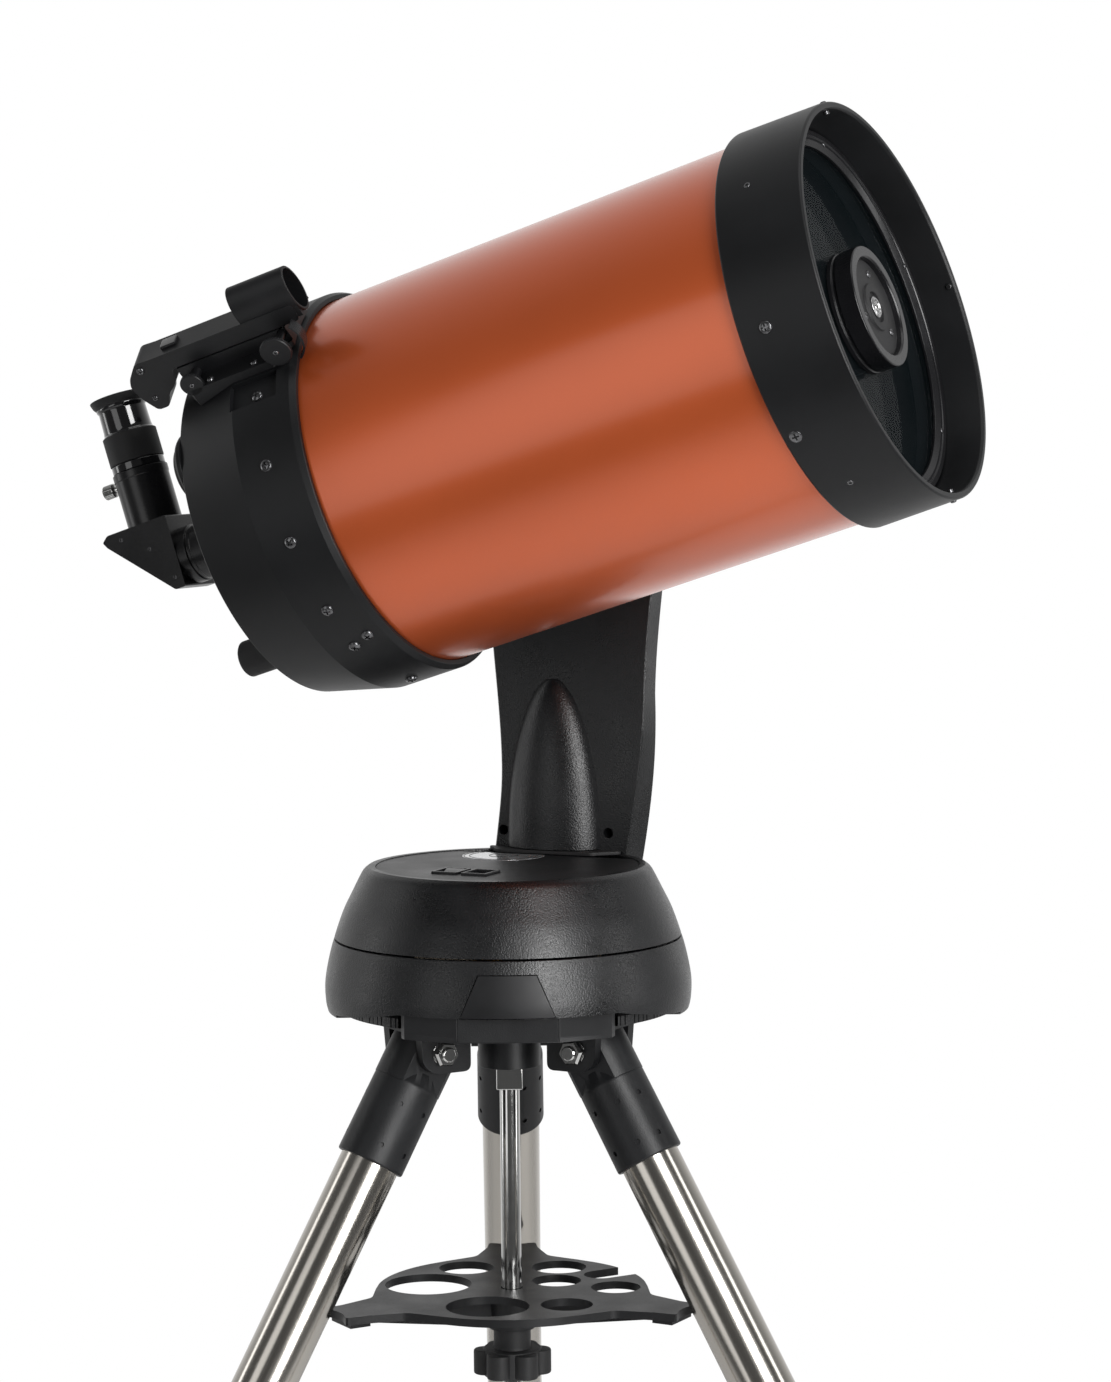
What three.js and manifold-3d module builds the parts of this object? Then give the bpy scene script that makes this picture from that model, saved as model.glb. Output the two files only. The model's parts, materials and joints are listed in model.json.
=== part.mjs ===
// Single-arm Schmidt-Cassegrain telescope on a computerised base and a stainless tripod.
// Millimetres, +Z up. The azimuth axis is Z until the last lines, which centre the object's box.
import * as THREE from 'three';
import { mergeVertices } from 'three/addons/utils/BufferGeometryUtils.js';
import Module from 'manifold-3d';

const wasm = await Module();
wasm.setup();

// ---- driving dimensions -------------------------------------------------
const GAP = 0.4;                        // running gap between separate pieces

// Pointing at rest
const HEADING = THREE.MathUtils.degToRad(-25.2);   // tube heading, turned from +X towards -Y
const ALTITUDE = THREE.MathUtils.degToRad(17.8);   // tube above the horizon
const ALT_AXIS_Z = 1000;                // altitude axis above the ground
const ALT_AXIS_X = 12;                  // altitude axis ahead of the azimuth axis
const TUBE_SIDE = -100.4;               // optical axis, away from the arm

// Optical tube, measured along its axis from the altitude axis
const TUBE_R = 115.5;
const TUBE_WALL = 2;
const CELL_R = 120.8;
const FRONT_RIM = 302;
const FRONT_CELL_BACK = 248.2;
const REAR_CELL_FRONT = -32.6;
const REAR_CELL_CREASE = -76.6;
const REAR_CELL_BACK = -122.5;
const REAR_CELL_BACK_R = 110;
const CORRECTOR_FACE = 275;
const CORRECTOR_R = 111;
const CLEAR_APERTURE_R = 101.6;
const SECONDARY_R = 36.5;
const SECONDARY_FACE = 291.5;
const TUBE_SEAT = 14;                   // how far each cell overlaps the tube
const BACK_PLATE = 6;
const BACK_HUB_R = 48;
const BACK_HUB_HEIGHT = 8;
const BAFFLE_R = 20;
const BAFFLE_BORE_R = 17;
const BAFFLE_END = 70;
const MIRROR_R = 104;

// Focus knob and visual back
const FOCUS_AT = [0, -22, -76];
const FOCUS_SCREW_R = 4;
const FOCUS_KNOB_R = 11.5;
const FOCUS_KNOB_END = -162;
const VISUAL_BACK_R = 27;
const VISUAL_BACK_END = -168;
const NOSE_R = 15.9;                    // the diagonal's nose, in the visual back

// Star diagonal and eyepiece
const EYEPIECE_X = -209.5;
const DIAGONAL_HALF_WIDTH = 19;
const DIAGONAL_TUBE_R = 18.5;
const HOLDER_R = 20;
const HOLDER_TOP = 62;
const DIAGONAL_SCREW_Z = 55.5;
const BARREL_R = 15.6;
const EYEPIECE_R = 17.4;
const EYEPIECE_TOP = 110.5;

// Red-dot finder, in a frame rolled about the optical axis
const FINDER_ROLL = THREE.MathUtils.degToRad(50);  // above the side away from the arm
const FINDER_AXIS = 150.4;              // sight axis above the optical axis
const FINDER_HOOD_R = 15.5;
const FINDER_HOOD_WIDTH = 0.72;         // its width, as a fraction of its height
const FINDER_BODY_HALF = 9.5;
const FINDER_BODY_LOW = 134.5;
const FINDER_BODY_HIGH = 146;
const FINDER_KNOB_AT = [-38, 0, 130];
const FINDER_KNOB_R = 9.8;

// Dovetail, saddle and arm, measured sideways from the optical axis
const BAR_NEAR = 128;
const BAR_FAR = 142;
const SADDLE_BACK = 160;
const ARM_FACE = 75;                    // from the azimuth axis
const ARM_SPLIT = 92;
const ARM_BACK = 138;
const ARM_HEAD_R = 63;
const ARM_FOOT = 705;
const ARM_STEPS = 7;                    // steps along each curve of the arm's outline
const BOSS_X = -1.6;
const BAR_HALF = 22;
const BAR_HALF_NARROW = 17;
const BAR_ENDS = [-74, 286];
const JAW_LENGTH = 55;
const JAW_HEIGHT = 14;
const SADDLE_HUB_R = 44;
const CLAMP_Y = (BAR_FAR + SADDLE_BACK) / 2 + 1;
const CLAMP_SCREW_R = 4;
const ALT_SHAFT_R = 20;
const ALT_WHEEL_R = 42;
const WORM_R = 7;
const WORM_GAP = 0.6;                   // between a worm and its wheel
// The outer cover's depth from the azimuth axis, inset from the arm's outline, and flare at the foot
const COVER_DEPTHS = [[ARM_SPLIT + GAP, 0.5, 5], [100, 4, 3], [110, 11], [126, 19], [ARM_BACK, 27]];

// Base
const BASE_BOTTOM = 650;
const SEAM_Z = 696;
const SEAM_GAP = 0.6;                   // each shell stands this far from the seam
const DECK_Z = 741;
const LID_R = 83.8;
const LID_THICKNESS = 4;
const LID_BACK = ARM_FACE - 20;
const LID_WINDOW = [18.4, 22.4];
const SHELL_WALL = 3.2;
const LOWER_PROFILE = [[115.4, BASE_BOTTOM], [116.6, 655], [117.2, 663], [116.9, 670],
  [115.5, 678.5], [113.2, 688.6], [111.2, SEAM_Z - SEAM_GAP]];
const UPPER_PROFILE = [[110.8, SEAM_Z + SEAM_GAP], [108.4, 704], [104.5, 714.4], [99.4, 724.7],
  [94.2, 735], [91.6, 739.2], [88.5, 741.6]];
const AZ_PIVOT_R = 17;
const AZ_WHEEL_R = 60;
const AZ_WHEEL_AT = [672, 682];
const AZ_WORM_Z = 677;
const SWITCH_AT = [-17.2, -46];
const SWITCH_TILT = 7;                  // degrees
const JACK_AT = [3.6, -46.3];
const SOCKET_SIZE = [14, 18];           // openings for the switch and the jack
const CELL_COUNT = 4;                   // batteries
const CELL_BODY_R = 7.2;
const CELL_PITCH = 14.7;

// Tripod
const HEAD_TOP = BASE_BOTTOM - GAP;
const HEAD_CORNER_R = 98;
const HEAD_LUG_TOP = 660;
const HEAD_LUG = [[-66, -86], [-64, -92], [-32, -109], [32, -109], [64, -92], [66, -86]];
const HINGE_R = 61.7;
const HINGE_Z = 629;
const EAR_INNER = 17.6;
const EAR_OUTER = 25;
const PIN_R = 5;
const BOLT_HEAD_R = 8.5;
const BOLT_HEAD_HEIGHT = 6.1;
const LEG_ANGLE = THREE.MathUtils.degToRad(30.1);  // from the vertical
const LEG_AZIMUTHS = [90, 210, 330];
const LEG_R = 19.05;
const LEG_WALL = 1.6;
const EXTENSION_R = 15.9;
const EXTENSION_WALL = 1.5;
const SLEEVE_R = 22;
const SLEEVE_END = 80;                  // along the leg, from the hinge
const TUBE_START = 32;
const LEG_END = 628;
const COLLAR_START = 598;
const COLLAR_END = 656;
const EXTENSION_START = 330;
const FOOT_START = 692;
const FOOT_SOCKET = 12;
const FOOT_R = 21;
const LEG_LENGTH = HINGE_Z / Math.cos(LEG_ANGLE);
const TRAY_Z = 467;
const TRAY_R = 87;
const TRAY_TIP_R = 129.5;
const TRAY_THICKNESS = 5;
const TRAY_HUB_DEPTH = 26;
const TRAY_HOLES = [
  { at: [-54, 11], r: 28 }, { at: [-30, 56], r: 18 }, { at: [31, 55], r: 18 }, { at: [29, 17], r: 16 },
  { at: [67, -3], r: 16 }, { at: [-15, -51], r: 26.5 }, { at: [35, -48], r: 16.5 },
];
const TRAY_NOTCH = { at: 66.5, r: 11, azimuth: 29.3 };
const ROD_R = 6.4;
const ROD_LOW = 404;
const KNOB_LOBES = 6;

// Facets round the turned pieces, by size
const TUBE_SIDES = 40;
const BASE_SIDES = 36;
const WIDE = 24;
const ROUND = 18;
const SMALL = 14;
const TINY = 10;

// ---- materials ----------------------------------------------------------
const finish = (color, roughness, metalness) =>
  new THREE.MeshStandardMaterial({ color, roughness, metalness });
const LOOKS = {
  tubePaint: () => finish(0xc04a20, 0.25, 0.55),
  blackPaint: () => finish(0x1c1d1f, 0.5, 0.2),
  blackPlastic: () => finish(0x17181a, 0.55, 0.0),
  rubber: () => finish(0x121212, 0.9, 0.0),
  steel: () => finish(0xb9b5ac, 0.2, 1.0),
  chrome: () => finish(0xd8d8d8, 0.08, 1.0),
  brass: () => finish(0xb08a3c, 0.35, 1.0),
  glass: () => finish(0x8fa3a8, 0.05, 0.0),
  mirror: () => finish(0xe8e8e8, 0.02, 1.0),
  gloss: () => finish(0x0c0c0d, 0.12, 0.0),
};

// ---- solids -------------------------------------------------------------
// A closed, outward-facing manifold from a three.js geometry.
function solid(geometry) {
  const plain = geometry.index ? geometry.toNonIndexed() : geometry.clone();
  plain.deleteAttribute('normal');
  plain.deleteAttribute('uv');
  const merged = mergeVertices(plain, 1e-4);
  const points = merged.getAttribute('position').array;
  const source = merged.index.array;
  const corner = (i) => new THREE.Vector3().fromArray(points, 3 * i);
  const triangles = [];
  let volume = 0;
  for (let i = 0; i < source.length; i += 3) {
    const [a, b, c] = [source[i], source[i + 1], source[i + 2]];
    if (a === b || b === c || c === a) continue;
    triangles.push(a, b, c);
    volume += corner(a).dot(corner(b).cross(corner(c)));
  }
  if (volume < 0) triangles.reverse();
  return new wasm.Manifold(new wasm.Mesh({
    numProp: 3,
    vertProperties: new Float32Array(points),
    triVerts: new Uint32Array(triangles),
  }));
}

function toGeometry(manifold) {
  const mesh = manifold.getMesh();
  const geometry = new THREE.BufferGeometry();
  geometry.setAttribute('position', new THREE.BufferAttribute(mesh.vertProperties, 3));
  geometry.setIndex(new THREE.BufferAttribute(mesh.triVerts, 1));
  geometry.computeVertexNormals();
  return geometry;
}

const ORIGIN = [0, 0, 0];
const joined = (...pieces) => pieces.reduce((whole, piece) => whole.add(piece));
const cut = (body, ...tools) => tools.reduce((left, tool) => left.subtract(tool), body);
const turnTo = { x: (g) => g.rotateZ(-Math.PI / 2), y: (g) => g, z: (g) => g.rotateX(Math.PI / 2) };

// A block between two corners.
function block(low, high) {
  const size = high.map((value, i) => value - low[i]);
  const centre = high.map((value, i) => (value + low[i]) / 2);
  return solid(new THREE.BoxGeometry(...size).translate(...centre));
}

// A round bar of radius r along an axis, from start to end, through the point at.
function bar(axis, r, start, end, at = ORIGIN, sides = ROUND) {
  const geometry = new THREE.CylinderGeometry(r, r, end - start, sides);
  geometry.translate(0, (start + end) / 2, 0);
  return solid(turnTo[axis](geometry).translate(...at));
}

// A turned piece: [radius, height] points that start and end on the axis or close on themselves.
function turned(axis, profile, sides = ROUND, at = [0, 0, 0]) {
  const points = profile.map(([r, h]) => new THREE.Vector2(r, h));
  const geometry = new THREE.LatheGeometry(points, sides);
  return solid(turnTo[axis](geometry).translate(...at));
}

// A turned piece that closes on itself, such as a ring.
const turnedRing = (axis, profile, sides, at) => turned(axis, [...profile, profile[0]], sides, at);

// A tube between two radii.
const pipe = (axis, outer, inner, start, end, at, sides) =>
  turnedRing(axis, [[inner, start], [outer, start], [outer, end], [inner, end]], sides, at);

// A flat outline in X and Z, given thickness along Y.
function slab(shape, near, far, curveSegments = 12) {
  const options = { depth: far - near, bevelEnabled: false, curveSegments };
  const geometry = new THREE.ExtrudeGeometry(shape, options);
  return solid(geometry.rotateX(Math.PI / 2).translate(0, far, 0));
}

// A flat outline in X and Y, given height along Z.
function plate(shape, low, high, curveSegments = 16) {
  const options = { depth: high - low, bevelEnabled: false, curveSegments };
  return solid(new THREE.ExtrudeGeometry(shape, options).translate(0, 0, low));
}

const outline = (points) => new THREE.Shape(points.map(([a, b]) => new THREE.Vector2(a, b)));

// Skin through a stack of closed rings that have the same number of points, with flat ends.
function lofted(rings) {
  const count = rings[0].length;
  const positions = rings.flat(2);
  const centreOf = (ring) => [0, 1, 2].map((i) => ring.reduce((sum, p) => sum + p[i], 0) / count);
  positions.push(...centreOf(rings[0]), ...centreOf(rings.at(-1)));
  const first = rings.length * count;
  const triangles = [];
  for (let j = 0; j < count; j += 1) {
    const k = (j + 1) % count;
    for (let i = 0; i < rings.length - 1; i += 1) {
      const [a, b] = [i * count + j, i * count + k];
      triangles.push(a, b, b + count, a, b + count, a + count);
    }
    const last = (rings.length - 1) * count;
    triangles.push(first, k, j, first + 1, last + j, last + k);
  }
  const geometry = new THREE.BufferGeometry();
  geometry.setAttribute('position', new THREE.Float32BufferAttribute(positions, 3));
  geometry.setIndex(triangles);
  return solid(geometry);
}

function add(parent, name, manifold, look) {
  const mesh = new THREE.Mesh(toGeometry(manifold), LOOKS[look]());
  mesh.name = name;
  parent.add(mesh);
  return mesh;
}

// ---- optical tube: X along the optical axis, Y towards the arm, Z up ------

function opticalTube(group) {
  const tubeEnds = [REAR_CELL_FRONT - TUBE_SEAT, FRONT_CELL_BACK + TUBE_SEAT];
  const tubeWall = pipe('x', TUBE_R, TUBE_R - TUBE_WALL, ...tubeEnds, ORIGIN, TUBE_SIDES);
  add(group, 'optical_tube', tubeWall, 'tubePaint');

  const boreR = TUBE_R + GAP;
  const lipR = CORRECTOR_R - 4;
  const shelf = CORRECTOR_FACE - 5;
  const frontCell = [
    [boreR, FRONT_CELL_BACK], [CELL_R - 1.2, FRONT_CELL_BACK], [CELL_R, FRONT_CELL_BACK + 1.2],
    [CELL_R - 0.8, FRONT_RIM - 1], [CELL_R - 1.6, FRONT_RIM], [CELL_R - 4.4, FRONT_RIM],
    [CELL_R - 5.2, FRONT_RIM - 1.5], [CORRECTOR_R + 1.5, CORRECTOR_FACE + 6], [CORRECTOR_R + GAP, shelf],
    [lipR, shelf], [lipR, tubeEnds[1] + GAP], [boreR, tubeEnds[1] + GAP],
  ];
  add(group, 'corrector_cell', turnedRing('x', frontCell, TUBE_SIDES), 'blackPaint');

  const hub = SECONDARY_R - 3;
  const plateEnds = [shelf + GAP, CORRECTOR_FACE];
  const corrector = pipe('x', CORRECTOR_R, hub + GAP, ...plateEnds, ORIGIN, TUBE_SIDES);
  add(group, 'corrector_plate', corrector, 'glass');
  const ringFace = CORRECTOR_FACE + 5;
  const ring = [
    [CLEAR_APERTURE_R + 1, CORRECTOR_FACE + GAP], [CORRECTOR_R, CORRECTOR_FACE + GAP],
    [CORRECTOR_R, ringFace], [CLEAR_APERTURE_R + 3, ringFace],
  ];
  add(group, 'retaining_ring', turnedRing('x', ring, TUBE_SIDES), 'blackPaint');
  const secondary = [
    [0, CORRECTOR_FACE - 20], [hub, CORRECTOR_FACE - 20], [hub, CORRECTOR_FACE + GAP],
    [SECONDARY_R, CORRECTOR_FACE + GAP], [SECONDARY_R, SECONDARY_FACE - 1],
    [SECONDARY_R - 1, SECONDARY_FACE], [SECONDARY_R - 9, SECONDARY_FACE],
    [SECONDARY_R - 11, SECONDARY_FACE - 4], [0, SECONDARY_FACE - 4],
  ];
  add(group, 'secondary_housing', turned('x', secondary, WIDE), 'blackPaint');
}

function rearCell(group) {
  const boreR = TUBE_R + GAP;
  const seatEnd = REAR_CELL_FRONT - TUBE_SEAT - GAP;
  const insideR = CELL_R - 9;
  const inside = REAR_CELL_BACK + BACK_PLATE;
  const hubFace = REAR_CELL_BACK - BACK_HUB_HEIGHT;
  const hubBoreR = VISUAL_BACK_R + 1;
  const throatR = VISUAL_BACK_R - 1;
  const cell = [
    [boreR, REAR_CELL_FRONT], [CELL_R - 2.2, REAR_CELL_FRONT], [CELL_R, REAR_CELL_FRONT - 4],
    [CELL_R, REAR_CELL_CREASE], [REAR_CELL_BACK_R, REAR_CELL_BACK + 1],
    [REAR_CELL_BACK_R - 1.5, REAR_CELL_BACK], [BACK_HUB_R, REAR_CELL_BACK],
    [BACK_HUB_R - 2, hubFace], [hubBoreR, hubFace], [hubBoreR, REAR_CELL_BACK],
    [throatR, REAR_CELL_BACK], [throatR, inside], [REAR_CELL_BACK_R - 6, inside],
    [insideR, REAR_CELL_CREASE], [insideR, seatEnd], [boreR, seatEnd],
  ];
  const knobHole = bar('x', FOCUS_SCREW_R + 1, hubFace, inside + 4, FOCUS_AT, SMALL);
  add(group, 'rear_cell', cut(turnedRing('x', cell, TUBE_SIDES), knobHole), 'blackPaint');

  // The baffle tube stands on a flange inside the back plate, and the mirror slides on it.
  const flange = inside + GAP;
  const flangeR = 34;
  const baffle = [
    [BAFFLE_BORE_R, flange], [flangeR, flange], [flangeR, flange + 5], [BAFFLE_R, flange + 5],
    [BAFFLE_R, BAFFLE_END], [BAFFLE_BORE_R, BAFFLE_END],
  ];
  add(group, 'baffle_tube', turnedRing('x', baffle, ROUND), 'blackPaint');
  const mirrorBack = flange + 22;
  const mirrorBoreR = BAFFLE_R + 2.5;
  const mirror = [
    [mirrorBoreR, mirrorBack], [MIRROR_R - 4, mirrorBack], [MIRROR_R, mirrorBack + 4],
    [MIRROR_R, mirrorBack + 19], [MIRROR_R * 0.58, mirrorBack + 16], [mirrorBoreR, mirrorBack + 14],
  ];
  add(group, 'primary_mirror', turnedRing('x', mirror, WIDE), 'mirror');
}

function focusKnob(group) {
  const skirtR = FOCUS_KNOB_R + 1.5;
  const skirtEnd = REAR_CELL_BACK - 1.5;
  const screwEnd = REAR_CELL_BACK + 18.5;
  const profile = [
    [0, FOCUS_KNOB_END], [FOCUS_KNOB_R - 1.5, FOCUS_KNOB_END], [FOCUS_KNOB_R, FOCUS_KNOB_END + 1.5],
    [FOCUS_KNOB_R, -134], [skirtR, -131], [skirtR, skirtEnd], [FOCUS_SCREW_R, skirtEnd],
    [FOCUS_SCREW_R, screwEnd], [0, screwEnd],
  ];
  add(group, 'focus_knob', turned('x', profile, WIDE, FOCUS_AT), 'rubber');
}

// The visual back screws on the rear cell, and the diagonal's nose slides into it.
function visualBack(group) {
  const boreR = NOSE_R + 0.5;
  const neckR = 20.5;
  const threadR = VISUAL_BACK_R - 1.6;
  const seat = REAR_CELL_BACK - GAP;
  const inner = REAR_CELL_BACK + BACK_PLATE;
  const profile = [
    [boreR, VISUAL_BACK_END], [neckR, VISUAL_BACK_END], [neckR, -142], [VISUAL_BACK_R, -138],
    [VISUAL_BACK_R, seat], [threadR, seat], [threadR, inner], [boreR, inner],
  ];
  add(group, 'visual_back', turnedRing('x', profile, WIDE), 'blackPaint');
}

function starDiagonal(group) {
  const w = DIAGONAL_HALF_WIDTH;
  const eyepieceAt = [EYEPIECE_X, 0, 0];
  const screwAt = [0, 0, DIAGONAL_SCREW_Z];
  const screwR = 2.1;
  const noseEnd = -145;
  const nose = [
    [0, -192], [DIAGONAL_TUBE_R, -192], [DIAGONAL_TUBE_R, -170], [NOSE_R, -170],
    [NOSE_R, noseEnd], [0, noseEnd],
  ];
  const side = outline([
    [-235, 27], [-239.5, 23.5], [-237, 19.5], [-198, -19.5], [-190.5, -19.5], [-190.5, 27],
  ]);
  const body = joined(
    slab(side, -w, w),
    turned('x', nose, ROUND),
    bar('z', HOLDER_R - 2.6, 20, HOLDER_TOP, eyepieceAt, ROUND),
  );
  const lightPath = bar('x', NOSE_R - 2.4, EYEPIECE_X, noseEnd + 5, ORIGIN, SMALL);
  const socket = bar('z', BARREL_R + 0.5, 22, HOLDER_TOP + 5, eyepieceAt, ROUND);
  const screwHole = bar('x', screwR + GAP, -240, -215, screwAt, TINY);
  add(group, 'diagonal_body', cut(body, lightPath, socket, screwHole), 'blackPaint');
  const screw = [
    [0, -238.5], [4.6, -238.5], [4.6, -230.5], [screwR, -230.5], [screwR, -226.2], [0, -226.2],
  ];
  add(group, 'diagonal_thumbscrew', turned('x', screw, SMALL, screwAt), 'chrome');

  const eyepiece = [
    [0, 34], [BARREL_R, 34], [BARREL_R, HOLDER_TOP + GAP], [BARREL_R + 0.3, HOLDER_TOP + GAP],
    [16.2, 67], [EYEPIECE_R, 67.5], [EYEPIECE_R, 86.5], [BARREL_R, 87], [15.2, 103], [18, 107],
    [18.8, EYEPIECE_TOP], [13.5, EYEPIECE_TOP - 4], [9, EYEPIECE_TOP - 8], [0, EYEPIECE_TOP - 8],
  ];
  add(group, 'eyepiece', turned('z', eyepiece, ROUND, eyepieceAt), 'gloss');
}

// The finder's own frame: X along the tube, Z out from the optical axis, -Y to its lower side.
function finder(group) {
  const [knobX, , knobZ] = FINDER_KNOB_AT;
  const footEnds = [-112, -34];
  const foot = joined(
    block([footEnds[0], -24, 112], [footEnds[1], 24, 124]),
    block([footEnds[0], -9, 120], [footEnds[1], 9, knobZ + 3]),
  );
  // The rear cell's own shape leaves its curve in the foot.
  const coneStart = REAR_CELL_BACK - 5;
  const cone = turned('x', [
    [0, coneStart], [REAR_CELL_BACK_R - 0.8, coneStart], [REAR_CELL_BACK_R + 0.8, REAR_CELL_BACK],
    [CELL_R + GAP, REAR_CELL_CREASE + 0.1], [0, REAR_CELL_CREASE + 0.1],
  ], TUBE_SIDES);
  const cylinder = bar('x', CELL_R + GAP, REAR_CELL_CREASE, 0, ORIGIN, TUBE_SIDES);
  const knobHole = bar('y', 3, -30, -2, FINDER_KNOB_AT, TINY);
  add(group, 'finder_bracket', cut(foot, cylinder, cone, knobHole), 'blackPlastic');

  const side = outline([
    [-124, FINDER_BODY_HIGH], [-134, 146.6], [-143, 138], [-146, 132], [-144, 122], [-139, 111.5],
    [-131, 111.5], [-125.5, 120], [-118.5, 124], [-114, FINDER_BODY_LOW], [-22, FINDER_BODY_LOW],
    [-22, FINDER_BODY_HIGH],
  ]);
  const oval = (manifold) => manifold.scale([1, FINDER_HOOD_WIDTH, 1]);
  const sightAt = [0, 0, FINDER_AXIS];
  const body = joined(
    slab(side, -FINDER_BODY_HALF, FINDER_BODY_HALF),
    oval(bar('x', FINDER_HOOD_R, -57.5, -17.7, sightAt, ROUND)),
  );
  const window = oval(bar('x', FINDER_HOOD_R - 2, -46, -10, sightAt, ROUND));
  add(group, 'finder_body', cut(body, window), 'blackPlastic');

  const knob = [
    [0, -28.5], [FINDER_KNOB_R - 0.6, -28.5], [FINDER_KNOB_R, -27.8], [FINDER_KNOB_R, -25.5],
    [2.4, -25.5], [2.4, -4], [0, -4],
  ];
  add(group, 'finder_knob', turned('y', knob, ROUND, [knobX, 0, knobZ]), 'blackPlastic');
}

// ---- dovetail and saddle --------------------------------------------------
function dovetail(group) {
  const section = [
    [BAR_NEAR, -BAR_HALF_NARROW], [BAR_NEAR, BAR_HALF_NARROW], [BAR_FAR, BAR_HALF], [BAR_FAR, -BAR_HALF],
  ];
  const atX = (x) => section.map(([y, z]) => [x, y, z]);
  const rail = lofted(BAR_ENDS.map(atX));
  // Pads stand the bar off the two cells.
  const [padLength, padHalf] = [30, 14];
  const pads = [BAR_ENDS[0] + 2, BAR_ENDS[1] - 2 - padLength].map((from) =>
    block([from, CELL_R + GAP, -padHalf], [from + padLength, BAR_NEAR + 1, padHalf]));
  add(group, 'dovetail_bar', joined(rail, ...pads), 'blackPaint');
}

// One jaw's section grips the bar's sloping side; side is +1 above the bar and -1 below it.
function jawSection(side, clearance) {
  const slope = (BAR_HALF - BAR_HALF_NARROW) / (BAR_FAR - BAR_NEAR);
  const grip = (y) => side * (BAR_HALF_NARROW + slope * (y - BAR_NEAR) + clearance);
  const outer = side * (BAR_HALF + JAW_HEIGHT);
  return [[BAR_NEAR + 3, grip(BAR_NEAR + 3)], [BAR_FAR + GAP, grip(BAR_FAR + GAP)], [BAR_FAR + GAP, outer],
    [BAR_NEAR + 6, outer], [BAR_NEAR + 3, outer - side * 3]];
}

function jaw(side, halfLength, clearance) {
  const atX = (x) => jawSection(side, clearance).map(([y, z]) => [x, y, z]);
  return lofted([atX(-halfLength), atX(halfLength)]);
}

function saddle(group) {
  const armFace = ARM_FACE - TUBE_SIDE;
  const clampAt = [0, CLAMP_Y, 0];
  const bed = block([-JAW_LENGTH, BAR_FAR + GAP, -38], [JAW_LENGTH, SADDLE_BACK, BAR_HALF + JAW_HEIGHT]);
  const hub = bar('y', SADDLE_HUB_R, SADDLE_BACK - 2, armFace - 1, ORIGIN, WIDE);
  const boss = bar('z', 9, -52, -30, clampAt, SMALL);
  const knobBore = bar('z', CLAMP_SCREW_R + 0.5, -60, -20, clampAt, SMALL);
  const shaftBore = bar('y', ALT_SHAFT_R + GAP, SADDLE_BACK + 2, armFace, ORIGIN, ROUND);
  const clearance = 0.5;
  const whole = joined(bed, hub, boss, jaw(1, JAW_LENGTH, clearance));
  add(group, 'saddle', cut(whole, knobBore, shaftBore), 'blackPaint');
  const loose = jaw(-1, JAW_LENGTH - 12, clearance).translate([0, -GAP, 0]);
  add(group, 'clamp_jaw', loose, 'blackPaint');
  const knob = [
    [0, -84], [14, -84], [16, -81], [16, -68], [8, -64], [8, -53], [CLAMP_SCREW_R, -53],
    [CLAMP_SCREW_R, -24], [0, -24],
  ];
  add(group, 'clamp_knob', turned('z', knob, SMALL, clampAt), 'rubber');
}

// Shaft and worm wheel that carry the saddle inside the arm.

function altitudeDrive(group, armGroup) {
  const shaftStart = SADDLE_BACK + 2 + GAP;
  const wheelAt = ARM_SPLIT - TUBE_SIDE + 6;
  const wheelWidth = 10;
  const stubR = 12;
  const profile = [
    [0, shaftStart], [ALT_SHAFT_R, shaftStart], [ALT_SHAFT_R, wheelAt], [ALT_WHEEL_R, wheelAt],
    [ALT_WHEEL_R, wheelAt + wheelWidth], [stubR, wheelAt + wheelWidth],
    [stubR, wheelAt + 2 * wheelWidth], [0, wheelAt + 2 * wheelWidth],
  ];
  add(group, 'altitude_gear', turned('y', profile, WIDE), 'brass');
  const wormZ = ALT_AXIS_Z - ALT_WHEEL_R - WORM_R - WORM_GAP;
  const wormY = wheelAt + TUBE_SIDE + wheelWidth / 2;
  const worm = [
    [0, -30], [3, -30], [3, -18], [WORM_R, -16], [WORM_R, 16], [3, 18], [3, 24], [0, 24],
  ];
  const wormAt = [ALT_AXIS_X, wormY, wormZ];
  add(armGroup, 'altitude_worm', turned('x', worm, ROUND, wormAt), 'steel');
  const motor = joined(
    bar('z', 12, -62, -14, [ALT_AXIS_X - 8, wormY + 6, wormZ], ROUND),
    block([ALT_AXIS_X - 38, wormY - 8, wormZ - 26], [ALT_AXIS_X - 4, wormY + 8, wormZ - 14]),
    block([ALT_AXIS_X - 38, wormY - 8, wormZ - 26], [ALT_AXIS_X - 32, wormY + 8, wormZ + 10]),
  );
  add(armGroup, 'altitude_motor', cut(motor, bar('x', 3.6, -50, 0, wormAt, TINY)), 'blackPlastic');
}

// ---- base: X ahead, Y towards the arm, about the azimuth axis ---------------
// Everything inside the upper shell's outer surface, grown by a margin.
function upperEnvelope(margin) {
  const skin = UPPER_PROFILE.map(([r, z]) => [r + margin, z + margin / 2]);
  const low = SEAM_Z - 20;
  const profile = [[0, low], [skin[0][0], low], ...skin, [0, skin.at(-1)[1]]];
  return turned('z', profile, BASE_SIDES);
}

function panelOutline(margin) {
  const [low, high] = [HEAD_LUG_TOP + 1 - margin, 686.8 + margin];
  const [wide, narrow] = [29.2 + margin, 17.8 + margin];
  return outline([[-wide, low], [wide, low], [narrow, high], [-narrow, high]]);
}

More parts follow.
